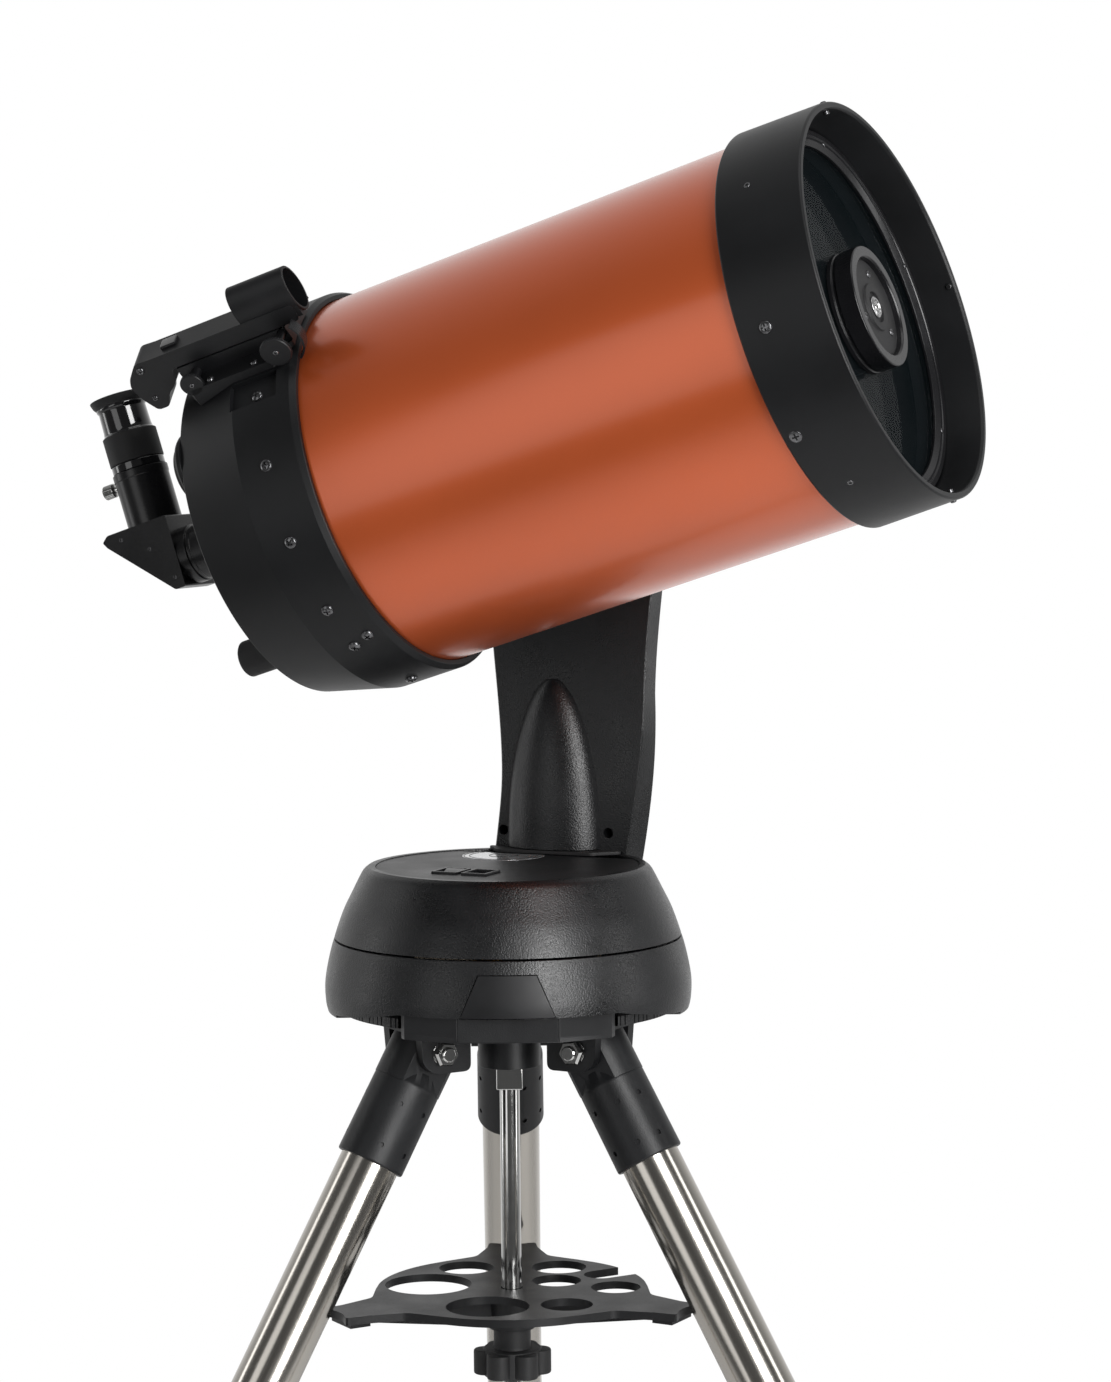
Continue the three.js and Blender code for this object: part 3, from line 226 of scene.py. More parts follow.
def lofted(rings):
    """Skin through closed rings with the same number of points, with flat ends."""
    count = len(rings[0])
    verts = [point for ring in rings for point in ring]
    faces = [list(range(count))[::-1], [len(verts) - count + k for k in range(count)]]
    for i in range(len(rings) - 1):
        for k in range(count):
            a, b = i * count + k, i * count + (k + 1) % count
            faces.append([a, b, b + count, a + count])
    return verts, faces


def prism(axis, outline, low, high, soft=0):
    """A flat outline given depth along an axis."""
    points = softened(outline, soft, closed=True) if soft else outline
    return lofted([[along(axis, a, b, h) for a, b in points] for h in (low, high)])


def block(low, high):
    (x0, y0, z0), (x1, y1, z1) = low, high
    return prism("z", [(x0, y0), (x1, y0), (x1, y1), (x0, y1)], z0, z1)


def slab(outline, near, far, soft=0):
    """An outline in X and Z given depth along Y."""
    return prism("y", [(z, x) for x, z in outline], near, far, soft)


def between(target, source):
    """The matrix that takes millimetres of one frame to millimetres of another."""
    matrix = target.inverted() @ source
    matrix.translation = matrix.translation / MM
    return matrix


def moved(solid, matrix):
    verts, faces = solid
    return [tuple(matrix @ Vector(v)) for v in verts], faces


def spun(solid, axis, degrees):
    return moved(solid, Matrix.Rotation(math.radians(degrees), 4, axis))


# ---- pieces -------------------------------------------------------------------
def object_from(name, solids):
    """One mesh object in metres from several solids, with all faces outward."""
    mesh = bpy.data.meshes.new(name)
    bm = bmesh.new()
    for verts, faces in solids:
        made = [bm.verts.new(Vector(v) * MM) for v in verts]
        for face in faces:
            bm.faces.new([made[i] for i in face])
    bmesh.ops.remove_doubles(bm, verts=bm.verts, dist=1e-7)
    bmesh.ops.recalc_face_normals(bm, faces=bm.faces)
    bm.to_mesh(mesh)
    bm.free()
    obj = bpy.data.objects.new(name, mesh)
    bpy.context.scene.collection.objects.link(obj)
    return obj


def applied(obj):
    """Replaces an object's mesh by the result of its modifiers."""
    graph = bpy.context.evaluated_depsgraph_get()
    mesh = bpy.data.meshes.new_from_object(obj.evaluated_get(graph))
    obj.modifiers.clear()
    old = obj.data
    obj.data = mesh
    bpy.data.meshes.remove(old)


def boolean(obj, operation, solids):
    """Joins solids to an object, cuts them out of it, or keeps what it shares with them."""
    for i, solid in enumerate(solids):
        tool = object_from(f"tool_{i}", [solid])
        modifier = obj.modifiers.new("shape", "BOOLEAN")
        modifier.operation, modifier.object, modifier.solver = operation, tool, "EXACT"
        applied(obj)
        bpy.data.objects.remove(tool)


def bevelled(obj, width, angle=30, segments=2):
    modifier = obj.modifiers.new("edges", "BEVEL")
    modifier.width, modifier.segments = width * MM, segments
    modifier.limit_method, modifier.angle_limit = "ANGLE", math.radians(angle)
    modifier.use_clamp_overlap = True
    applied(obj)


def shaded(obj, angle=38):
    """Smooth shading that breaks at sharp edges and keeps large faces flat."""
    obj.data.shade_smooth()
    obj.data.set_sharp_from_angle(angle=math.radians(angle))
    weights = obj.modifiers.new("normals", "WEIGHTED_NORMAL")
    weights.keep_sharp = True
    applied(obj)


def piece(name, place, body, look, *solids, join=False, cuts=(), bevel=0, sharp=38, replaces=()):
    """A finished piece: its solids, joined or side by side, less the cuts, on a CAD body."""
    obj = object_from(name, solids[:1] if join else solids)
    if join:
        boolean(obj, "UNION", solids[1:])
    boolean(obj, "DIFFERENCE", cuts)
    if bevel:
        bevelled(obj, bevel)
    shaded(obj, sharp)
    obj.matrix_world = place
    finish, slot = LOOKS[look]
    obj.data.materials.clear()
    obj.data.materials.append(finish)
    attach(obj, body)
    if replaces:
        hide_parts(*replaces)


# ---- screws -------------------------------------------------------------------
def cross_screw(r=2.6, proud=1.5, depth=1.1):
    """A domed screw head on Z with a cross recess, its seat at Z 0."""
    head = object_from("screw", [turned("z", [
        (0, -1.2), (r * 0.96, -1.2), (r, 0.1), (r * 0.9, proud * 0.6), (r * 0.55, proud * 0.94), (0, proud),
    ], sides=28, soft=0.3)])
    arm, wide = r * 0.56, r * 0.13
    top = proud + 1
    for a, b in ((arm, wide), (wide, arm)):
        boolean(head, "DIFFERENCE", [block((-a, -b, proud - depth), (a, b, top))])
    return taken(head)


def socket_screw(r=1.6, proud=0.3, depth=1.2):
    """A small cup-ended screw on Z with a six-sided socket."""
    head = object_from("screw", [bar("z", r, -1, proud, sides=20)])
    boolean(head, "DIFFERENCE", [bar("z", r * 0.55, proud - depth, proud + 1, sides=6, soft=0)])
    return taken(head)


def taken(obj):
    """The object's solid in millimetres; the object itself goes."""
    mesh = obj.data
    solid = [tuple(v.co / MM) for v in mesh.vertices], [list(p.vertices) for p in mesh.polygons]
    bpy.data.objects.remove(obj)
    return solid


def facing(at, outward, roll=0):
    """Places a solid whose Z points outward at a point."""
    turn = Vector(outward).to_track_quat("Z", "X").to_matrix().to_4x4()
    return Matrix.Translation(Vector(at)) @ turn @ Matrix.Rotation(math.radians(roll), 4, "Z")


def round_tube(x, radius, degrees):
    """A point and its outward direction on a tube about X; the angle is from -Y towards +Z."""
    a = math.radians(degrees)
    out = Vector((0, -math.cos(a), math.sin(a)))
    return Vector((x, 0, 0)) + out * radius, out


def screws_round(screw, spots, seat):
    """Copies of a screw at (x, angle) spots on a tube about X; seat gives the radius at x."""
    solids = []
    for i, (x, degrees) in enumerate(spots):
        at, out = round_tube(x, seat(x), degrees)
        solids.append(moved(screw, facing(at, out, roll=37 * i)))
    return solids


# ---- materials ------------------------------------------------------------------
def material(name, colour, rough, metal=0.0, **detail):
    """A procedural finish.

    tint and tint_mm: how much the colour drifts and over what length; grain_mm and bump: the
    surface grain; rough_spread: how much the roughness varies; stretch: lengthens the pattern
    along an axis; coat: a clear lacquer; flakes: glints in the paint; shine: how
    strongly the surface reflects.
    """
    get = {"tint": 0.1, "tint_mm": 40, "grain_mm": 0.5, "bump": 0.1, "rough_spread": 0.05,
           "stretch": (1, 1, 1), "coat": 0.0, "coat_rough": 0.04, "flakes": 0.0, "shine": 0.5, **detail}
    made = bpy.data.materials.new(name)
    made.use_nodes = True
    nodes, links = made.node_tree.nodes, made.node_tree.links
    shader = nodes["Principled BSDF"]
    shader.inputs["Metallic"].default_value = metal
    shader.inputs["Specular IOR Level"].default_value = get["shine"]
    shader.inputs["Coat Weight"].default_value = get["coat"]
    shader.inputs["Coat Roughness"].default_value = get["coat_rough"]
    where = nodes.new("ShaderNodeTexCoord")
    stretch = nodes.new("ShaderNodeMapping")
    stretch.inputs["Scale"].default_value = get["stretch"]
    links.new(where.outputs["Object"], stretch.inputs["Vector"])

    def noise(size_mm, detail_level):
        node = nodes.new("ShaderNodeTexNoise")
        node.inputs["Scale"].default_value = 1 / (size_mm * MM)
        node.inputs["Detail"].default_value = detail_level
        links.new(stretch.outputs["Vector"], node.inputs["Vector"])
        return node

    def ranged(source, low, high, start=0.3, stop=0.7):
        node = nodes.new("ShaderNodeMapRange")
        node.inputs["From Min"].default_value, node.inputs["From Max"].default_value = start, stop
        node.inputs["To Min"].default_value, node.inputs["To Max"].default_value = low, high
        links.new(source, node.inputs["Value"])
        return node.outputs["Result"]

    drift, grain = noise(get["tint_mm"], 3), noise(get["grain_mm"], 2)
    blend = nodes.new("ShaderNodeMix")
    blend.data_type = "RGBA"
    dark = [c * (1 - get["tint"]) for c in colour]
    light = [min(1, c * (1 + get["tint"])) for c in colour]
    blend.inputs["A"].default_value, blend.inputs["B"].default_value = (*dark, 1), (*light, 1)
    factor = ranged(drift.outputs["Fac"], 0, 1)
    if get["flakes"]:
        cells = nodes.new("ShaderNodeTexVoronoi")
        cells.inputs["Scale"].default_value = 1 / (0.45 * MM)
        links.new(where.outputs["Object"], cells.inputs["Vector"])
        glint = nodes.new("ShaderNodeMath")
        glint.operation = "MULTIPLY_ADD"
        glint.inputs[1].default_value = get["flakes"]
        links.new(cells.outputs["Color"], glint.inputs[0])
        links.new(factor, glint.inputs[2])
        factor = glint.outputs["Value"]
    links.new(factor, blend.inputs["Factor"])
    links.new(blend.outputs["Result"], shader.inputs["Base Color"])
    mixed = nodes.new("ShaderNodeMath")
    mixed.operation = "ADD"
    links.new(drift.outputs["Fac"], mixed.inputs[0])
    links.new(grain.outputs["Fac"], mixed.inputs[1])
    low, high = max(0.02, rough - get["rough_spread"]), rough + get["rough_spread"]
    links.new(ranged(mixed.outputs["Value"], low, high, 0.7, 1.3), shader.inputs["Roughness"])
    bump = nodes.new("ShaderNodeBump")
    bump.inputs["Strength"].default_value = get["bump"]
    bump.inputs["Distance"].default_value = 0.35 * get["grain_mm"] * MM
    links.new(grain.outputs["Fac"], bump.inputs["Height"])
    links.new(bump.outputs["Normal"], shader.inputs["Normal"])
    return made


def glass(name, colour, rough, alpha):
    """A coated glass that is thin enough to see straight through."""
    made = material(name, colour, rough, tint=0.15, tint_mm=90, bump=0.0, rough_spread=0.01)
    made.node_tree.nodes["Principled BSDF"].inputs["Alpha"].default_value = alpha
    return made


# look: (material, the record's slot)
LOOKS = {
    "tube_paint": (material(
        "orange_lacquer", (0.60, 0.105, 0.022), 0.42, 0.7, tint=0.06, tint_mm=160, grain_mm=0.4,
        bump=0.03, rough_spread=0.03, coat=1.0, coat_rough=0.2, flakes=0.35), "tube_paint"),
    "cell": (material(
        "satin_black", (0.0052, 0.0055, 0.0062), 0.42, 0.0, tint=0.25, tint_mm=60, grain_mm=0.35,
        bump=0.1, rough_spread=0.05, shine=0.28), "cell_paint"),
    "cast": (material(
        "grained_black", (0.0042, 0.0045, 0.0052), 0.33, 0.0, tint=0.3, tint_mm=35, grain_mm=1.0,
        bump=0.75, rough_spread=0.09, shine=0.5), "cast_black"),
    "fine_cast": (material(
        "fine_grained_black", (0.006, 0.0063, 0.0072), 0.42, 0.0, tint=0.3, tint_mm=35, grain_mm=0.6,
        bump=0.4, rough_spread=0.07, shine=0.38), "cast_black"),
    "plastic": (material(
        "moulded_black", (0.0058, 0.006, 0.0068), 0.44, 0.0, tint=0.25, tint_mm=25, grain_mm=0.4,
        bump=0.15, rough_spread=0.07, shine=0.35), "black_plastic"),
    "inside": (material(
        "dull_black", (0.0012, 0.0012, 0.0014), 0.85, 0.0, tint=0.3, bump=0.0,
        shine=0.1), "black_plastic"),
    "gloss": (material(
        "polished_black", (0.005, 0.005, 0.006), 0.12, 0.0, tint=0.2, bump=0.02, rough_spread=0.03,
        coat=1.0), "gloss_black"),
    "anodised": (material(
        "anodised_black", (0.007, 0.007, 0.008), 0.27, 0.1, tint=0.2, grain_mm=0.25, bump=0.06,
        rough_spread=0.06), "black_anodised"),
    "rubber": (material(
        "soft_black", (0.0065, 0.0065, 0.0072), 0.6, 0.0, tint=0.3, tint_mm=20, grain_mm=0.6,
        bump=0.3, rough_spread=0.08), "rubber"),
    "screw": (material(
        "black_steel", (0.14, 0.14, 0.145), 0.2, 0.9, tint=0.3, tint_mm=3, grain_mm=0.3, bump=0.1,
        rough_spread=0.08), "steel"),
    "stainless": (material(
        "polished_stainless", (0.5, 0.475, 0.435), 0.18, 1.0, tint=0.05, tint_mm=9, grain_mm=0.35,
        bump=0.05, rough_spread=0.05, stretch=(1, 1, 0.012)), "stainless"),
    "chrome": (material(
        "bright_chrome", (0.6, 0.6, 0.59), 0.09, 1.0, tint=0.05, tint_mm=12, bump=0.02,
        rough_spread=0.03), "chrome"),
    "steel": (material(
        "ground_steel", (0.5, 0.5, 0.5), 0.3, 1.0, tint=0.1, tint_mm=6, bump=0.08,
        rough_spread=0.08), "steel"),
    "silver": (material(
        "silver_disc", (0.5, 0.51, 0.52), 0.25, 0.6, tint=0.08, tint_mm=8, bump=0.04,
        rough_spread=0.06, coat=0.8), "aluminium"),
    "brass": (material(
        "machined_brass", (0.6, 0.4, 0.15), 0.26, 1.0, tint=0.12, tint_mm=8, bump=0.05,
        rough_spread=0.07), "brass"),
    "mirror": (material(
        "mirror_coating", (0.9, 0.9, 0.91), 0.02, 1.0, tint=0.01, bump=0.0,
        rough_spread=0.005), "mirror_coating"),
    "glass": (glass("coated_glass", (0.02, 0.03, 0.035), 0.03, 0.1), "optical_glass"),
    "lens": (glass("dark_lens", (0.01, 0.013, 0.02), 0.04, 0.75), "optical_glass"),
}
PHILLIPS = cross_screw(r=3.9, proud=2.0, depth=1.5)
MIDDLE_PHILLIPS = cross_screw()
SMALL_PHILLIPS = cross_screw(r=1.9, proud=1.0, depth=0.8)
LOW_PHILLIPS = cross_screw(r=3.8, proud=0.5, depth=1.1)
GRUB = socket_screw(r=1.9)


# ---- optical tube: X along the optical axis, Y towards the arm -----------------------
def optical_tube():
    ends = (REAR_CELL_FRONT - SEAT, FRONT_CELL_BACK + SEAT)
    inner = TUBE_R - TUBE_WALL
    piece("tube_shell", TUBE, "tube", "tube_paint", pipe("x", TUBE_R, inner, *ends, sides=224),
          replaces=["optical_tube"])
    piece("tube_lining", TUBE, "tube", "inside", pipe("x", inner - 0.1, inner - 0.4, *ends, sides=160))


def front_cell():
    shelf = CORRECTOR_FACE - 5
    seat_end = FRONT_CELL_BACK + SEAT
    profile = [
        (TUBE_R + GAP, FRONT_CELL_BACK), (CELL_R - 1.2, FRONT_CELL_BACK), (CELL_R, FRONT_CELL_BACK + 1.2),
        (CELL_R - 0.8, FRONT_RIM - 1), (CELL_R - 1.6, FRONT_RIM), (CELL_R - 4.4, FRONT_RIM),
        (CELL_R - 5.2, FRONT_RIM - 1.5), (CORRECTOR_R + 1.5, CORRECTOR_FACE + 6),
        (CORRECTOR_R + GAP, shelf), (CORRECTOR_R - 4, shelf), (CORRECTOR_R - 4, seat_end + GAP),
        (TUBE_R + GAP, seat_end + GAP),
    ]
    piece("front_cell", TUBE, "tube", "cell", turned("x", profile, sides=224, closed=True, soft=0.4),
          replaces=["corrector_cell"])

    def seat(x):
        return CELL_R - 0.8 * (x - FRONT_CELL_BACK) / (FRONT_RIM - FRONT_CELL_BACK)

    large = [(265.3, -2.8 + turn) for turn in (0, 120, 180, 240)]
    low = [(256, -33.3), (256, 146.7)]
    grub = [(269, 39.3), (268, -54), (269, 219.3), (268, 126)]
    rim = [(298.4, 84), (297, -93), (298.4, 174)]
    piece("front_cell_screws", TUBE, "tube", "screw",
          *screws_round(PHILLIPS, large, seat), *screws_round(LOW_PHILLIPS, low, seat),
          *screws_round(GRUB, grub, seat), *screws_round(SMALL_PHILLIPS, rim, seat))

    # Inner ends of the rim screws
    inner = []
    for x, degrees in rim:
        at, out = round_tube(x, CELL_R - 5.6, degrees)
        inner.append(moved(bar("z", 1.7, 0, 2.2, sides=16), facing(at, -out)))
    piece("rim_screw_ends", TUBE, "tube", "screw", *inner)


def corrector():
    ring_face = CORRECTOR_FACE + 5
    ring = [
        (CLEAR_APERTURE_R + 0.6, CORRECTOR_FACE + GAP), (CORRECTOR_R, CORRECTOR_FACE + GAP),
        (CORRECTOR_R, ring_face), (CORRECTOR_R - 3.5, ring_face), (CORRECTOR_R - 4, ring_face - 0.8),
        (CLEAR_APERTURE_R + 3.6, ring_face - 0.8), (CLEAR_APERTURE_R + 2.4, ring_face - 1.8),
        (CLEAR_APERTURE_R + 0.6, ring_face - 3),
    ]
    piece("corrector_ring", TUBE, "tube", "anodised",
          turned("x", ring, sides=200, closed=True, soft=0.25), replaces=["retaining_ring"])
    spots = []
    for turn in range(0, 360, 60):
        at = Vector((ring_face - 0.8, *polar(CLEAR_APERTURE_R + 4.8, turn + 17)))
        spots.append(moved(cross_screw(r=1.7, proud=0.8, depth=0.6), facing(at, (1, 0, 0), roll=turn)))
    piece("corrector_ring_screws", TUBE, "tube", "screw", *spots)

    back = CORRECTOR_FACE - 5 + GAP
    piece("corrector_glass", TUBE, "tube", "glass",
          pipe("x", CORRECTOR_R, SECONDARY_HUB_R + GAP, back, CORRECTOR_FACE, sides=160),
          replaces=["corrector_plate"])


def secondary():
    r, hub, seat, face = SECONDARY_R, SECONDARY_HUB_R, CORRECTOR_FACE, SECONDARY_FACE
    profile = [
        (0, seat - 20), (hub, seat - 20), (hub, seat + GAP), (r, seat + GAP), (r, seat + 3),
        (r - 0.9, seat + 3.4), (r - 0.9, seat + 5.2), (r, seat + 5.6), (r, face - 0.6), (r - 0.6, face),
        (r - 6.2, face), (r - 7, face - 1), (r - 7.4, face - 4), (0, face - 4),
    ]
    recess = [
        (0, face - 3.9), (r - 7.8, face - 3.9), (r - 8.2, face - 3.5), (14.5, face - 3.5),
        (14, face - 2.2), (9.4, face - 2.2), (9, face - 3.8), (0, face - 3.8),
    ]
    piece("secondary_recess", TUBE, "tube", "rubber", turned("x", recess, sides=128, soft=0.3))
    piece("secondary_cell", TUBE, "tube", "anodised", turned("x", profile, sides=128, soft=0.3),
          replaces=["secondary_housing"])
    screws = []
    for turn in (75, 195, 315):
        at = Vector((face - 3.6, *polar(21, turn)))
        screws.append(moved(cross_screw(r=2.4, proud=1.3, depth=1.0), facing(at, (1, 0, 0), roll=turn)))
    piece("secondary_screws", TUBE, "tube", "screw", *screws)
    cap = [(0, face - 4), (6.4, face - 4), (6.4, face - 2.4), (5.2, face - 1.6), (4.4, face - 1.6),
           (4, face - 2.6), (0, face - 2.2)]
    piece("secondary_cap", TUBE, "tube", "steel", turned("x", cap, sides=48, soft=0.25))
    piece("secondary_cap_screw", TUBE, "tube", "chrome",
          moved(cross_screw(r=2.6, proud=0.7, depth=0.6), facing((face - 2.3, 0, 0), (1, 0, 0), roll=30)))


def rear_cell():
    seat_end, hub_face = REAR_CELL_FRONT - SEAT - GAP, REAR_CELL_BACK - 8
    profile = [
        (TUBE_R + GAP, REAR_CELL_FRONT), (CELL_R - 2.2, REAR_CELL_FRONT), (CELL_R, REAR_CELL_FRONT - 4),
        (CELL_R, REAR_CELL_CREASE), (REAR_CELL_BACK_R, REAR_CELL_BACK + 1),
        (REAR_CELL_BACK_R - 1.5, REAR_CELL_BACK), (BACK_HUB_R, REAR_CELL_BACK), (BACK_HUB_R - 2, hub_face),
        (28, hub_face), (28, REAR_CELL_BACK), (26, REAR_CELL_BACK),
        (26, REAR_CELL_BACK + BACK_PLATE), (REAR_CELL_BACK_R - 6, REAR_CELL_BACK + BACK_PLATE),
        (CELL_R - 9, REAR_CELL_CREASE), (CELL_R - 9, seat_end), (TUBE_R + GAP, seat_end),
    ]
    at, out = round_tube(-61, CELL_R, 33.3)
    recess = moved(block((-17.5, -9.5, -4), (15.5, 9.5, 4)), Matrix.Translation(at) @ sideways(out))
    knob_hole = bar("x", 5, REAR_CELL_BACK - 5, REAR_CELL_BACK + 10, at=(0, *FOCUS_AT))
    piece("mirror_cell", TUBE, "tube", "cell", turned("x", profile, sides=224, closed=True, soft=0.4),
          cuts=[recess, knob_hole], sharp=9, replaces=["rear_cell"])
    spots = [(-57.6, 8.8 - 22.5 * k) for k in range(3)] + [(-46.3, -49), (-58.8, -51.5)]
    spots += [(-57.6, -171.2 - 22.5 * k) for k in (1, 2, 3)] + [(-57.6, 98.8), (-57.6, -81.2)]
    solids = screws_round(PHILLIPS, spots, lambda x: CELL_R)
    solids += screws_round(PHILLIPS, [(-61, 32.2)], lambda x: CELL_R - 3.9)
    for turn in (0, 120, 240):
        y, z = polar(15.5, turn + 30)
        at = (REAR_CELL_BACK + 2, y + FOCUS_AT[0], z + FOCUS_AT[1])
        solids.append(moved(SMALL_PHILLIPS, facing(at, (-1, 0, 0))))
    for turn in (45, 135, 225, 315):
        y, z = polar(98, turn)
        solids.append(moved(PHILLIPS, facing((REAR_CELL_BACK, y, z), (-1, 0, 0), roll=turn)))
    piece("mirror_cell_screws", TUBE, "tube", "screw", *solids)


def back_cap():
    """A round cap on the back plate, beside the eyepiece."""
    back = REAR_CELL_BACK
    cap = [(0, back - 8), (17, back - 8), (18.5, back - 7), (19.5, back - 4), (22.5, back - 3.4),
           (24, back - 1.5), (24, back + 1), (0, back + 1)]
    piece("mirror_cell_cap", TUBE, "tube", "cell", turned("x", cap, (0, *BACK_CAP_AT), sides=96))


def sideways(out):
    """A frame with X along the tube and Z pointing outward."""
    out = Vector(out).normalized()
    x = Vector((1, 0, 0))
    return Matrix((x, out.cross(x), out)).transposed().to_4x4()


def inner_optics():
    flange = REAR_CELL_BACK + BACK_PLATE + GAP
    baffle = [(17, flange), (34, flange), (34, flange + 5), (20, flange + 5), (20, 70), (17, 70)]
    piece("baffle", TUBE, "tube", "inside", turned("x", baffle, sides=96, closed=True),
          replaces=["baffle_tube"])
    back, hole_r, mirror_r, steps = flange + 22, 22.5, 104, 12
    curve = [(hole_r + (mirror_r - hole_r) * k / steps, back + 14 + 5 * (k / steps) ** 2)
             for k in range(steps + 1)]
    mirror = [(mirror_r - 4, back), (mirror_r, back + 4), *reversed(curve), (hole_r, back)]
    piece("main_mirror", TUBE, "primary_mirror", "mirror",
          turned("x", mirror, sides=160, closed=True, soft=0.2), replaces=["primary_mirror"])


def focus_knob():
    at = (0, *FOCUS_AT)
    grip = [
        (0, -162), (10, -162), (11.5, -160.5), (11.5, -134), (13, -131), (13, REAR_CELL_BACK - 1.5),
        (4, REAR_CELL_BACK - 1.5), (4, -104), (0, -104),
    ]
    piece("focus_grip", TUBE, "focus_knob", "rubber",
          turned("x", grip, at, sides=192, soft=0.6, ribs=(16, 1.6, -159.5, -135)), replaces=["focus_knob"])
    piece("focus_cap", TUBE, "focus_knob", "anodised",
          turned("x", [(0, -162.8), (6.5, -162.8), (7, -162), (0, -162)], at, sides=48, soft=0.2))


def visual_back():
    profile = [
        (16.4, -168), (20.5, -168), (20.5, -142), (27, -138), (27, REAR_CELL_BACK - GAP),
        (25.4, REAR_CELL_BACK - GAP), (25.4, REAR_CELL_BACK + BACK_PLATE),
        (16.4, REAR_CELL_BACK + BACK_PLATE),
    ]
    piece("visual_back_ring", TUBE, "tube", "anodised",
          turned("x", profile, sides=240, closed=True, ribs=(60, 0.5, -137, -124)),
          replaces=["visual_back"])
    screws = []
    for turn in (20, 200):
        y, z = polar(20.5, turn)
        shank = [(0, 0), (1.8, 0), (1.8, 2.5), (4.4, 3), (4.4, 9), (0, 9)]
        screws.append(moved(turned("z", shank, sides=72, soft=0.4, ribs=(18, 0.4, 2.9, 8.8)),
                            facing((-154, y, z), (0, y, z))))
    piece("visual_back_thumbscrews", TUBE, "tube", "chrome", *screws)


def star_diagonal():
    w = 19
    side = [(-235, 27), (-239.5, 23.5), (-237, 19.5), (-198, -19.5), (-190.5, -19.5), (-190.5, 27)]
    nose = turned("x", [
        (0, -192), (18.5, -192), (18.5, -184), (17.6, -183.5), (17.6, -181), (18.5, -180.5), (18.5, -170),
        (15.9, -170), (15.9, -145), (0, -145)], sides=96)
    holder = turned("z", [(0, 20), (17.4, 20), (17.4, HOLDER_TOP - 5), (17.8, HOLDER_TOP - 4.6),
                          (17.8, HOLDER_TOP), (0, HOLDER_TOP)], (EYEPIECE_X, 0, 0), sides=96)
    cuts = [
        bar("x", 13.5, -210, -140), bar("z", 16.1, 22, HOLDER_TOP + 5, (EYEPIECE_X, 0, 0), sides=96),
        bar("x", 2.5, -240, -215, DIAGONAL_SCREW_AT),
    ]
    # Shallow channels part the two side plates from the mirror's back plate.
    for y in (-w + 3.4, w - 3.4):
        groove = moved(block((-2, y - 0.35, -1), (60, y + 0.35, 1.2)), Matrix.Translation((-239, 0, 19.2))
                       @ Matrix.Rotation(math.radians(45), 4, "Y"))
        cuts.append(groove)
    piece("diagonal", TUBE, "diagonal", "anodised", slab(side, -w, w, soft=1.2), nose, holder,
          join=True, cuts=cuts, bevel=0.5, replaces=["diagonal_body"])
    plate_screws = []
    for side_of in (-1, 1):
        for x, z in ((-208, 10), (-226, 21.5), (-196, -12)):
            seat = facing((x, side_of * w, z), (0, side_of, 0))
            plate_screws.append(moved(socket_screw(r=1.3, proud=0.15), seat))
    piece("diagonal_screws", TUBE, "diagonal", "screw", *plate_screws)
    piece("diagonal_collar", TUBE, "diagonal", "chrome", pipe("x", 17.3, 16, -183.4, -181.1, sides=96))
    screw = [(0, -238.5), (3.9, -238.5), (4.6, -237.8), (4.6, -231.2), (4, -230.5), (2.1, -230.5),
             (2.1, -226.2), (0, -226.2)]
    piece("diagonal_knurled_screw", TUBE, "diagonal_screw", "chrome",
          turned("x", screw, DIAGONAL_SCREW_AT, sides=120, soft=0.25, ribs=(24, 0.35, -237.7, -231.3)),
          replaces=["diagonal_thumbscrew"])


def eyepiece():
    at = (EYEPIECE_X, 0, 0)
    top = EYEPIECE_TOP
    barrel = [
        (12.8, 34), (15.6, 34), (15.6, 40), (15, 40.6), (15, 46), (15.6, 46.6), (15.6, HOLDER_TOP + GAP),
        (17, HOLDER_TOP + GAP), (17, 67), (16.6, 67.4), (16.6, 86.6), (15.9, 87.4), (15.5, 90),
        (15.2, 102), (16.2, 103.6), (16.2, 105), (12, 105), (12, 60), (12.8, 59),
    ]
    piece("eyepiece_barrel", TUBE, "eyepiece", "gloss", turned("z", barrel, at, sides=96, closed=True),
          replaces=["eyepiece"])
    piece("eyepiece_chrome", TUBE, "eyepiece", "chrome", pipe("z", 15.8, 15.7, 47.5, HOLDER_TOP, at, 96))
    grip = [(16.7, 67.5), (17.4, 68), (17.4, 86), (16.7, 86.5)]
    piece("eyepiece_grip", TUBE, "eyepiece", "rubber",
          turned("z", grip, at, sides=288, closed=True, soft=0.2, ribs=(36, 1.1, 68.2, 85.8)))
    cup = [(13.4, 104.6), (16.2, 104.8), (17.6, 106.6), (18.5, 109), (18.8, top), (17.4, top),
           (14.6, 107.6), (13.2, 105.8)]
    piece("eyecup", TUBE, "eyepiece", "rubber", turned("z", cup, at, sides=96, closed=True))
    lens_r, edge, rise = 11.9, 100, 2.2
    lens = [(0, 97), (lens_r, 97), (lens_r, edge)]
    for k in range(1, 8):
        a = k / 8 * math.pi / 2
        lens.append((lens_r * math.cos(a), edge + rise * math.sin(a)))
    lens.append((0, edge + rise))
    piece("eye_lens", TUBE, "eyepiece", "lens", turned("z", lens, at, sides=64, soft=0.1))


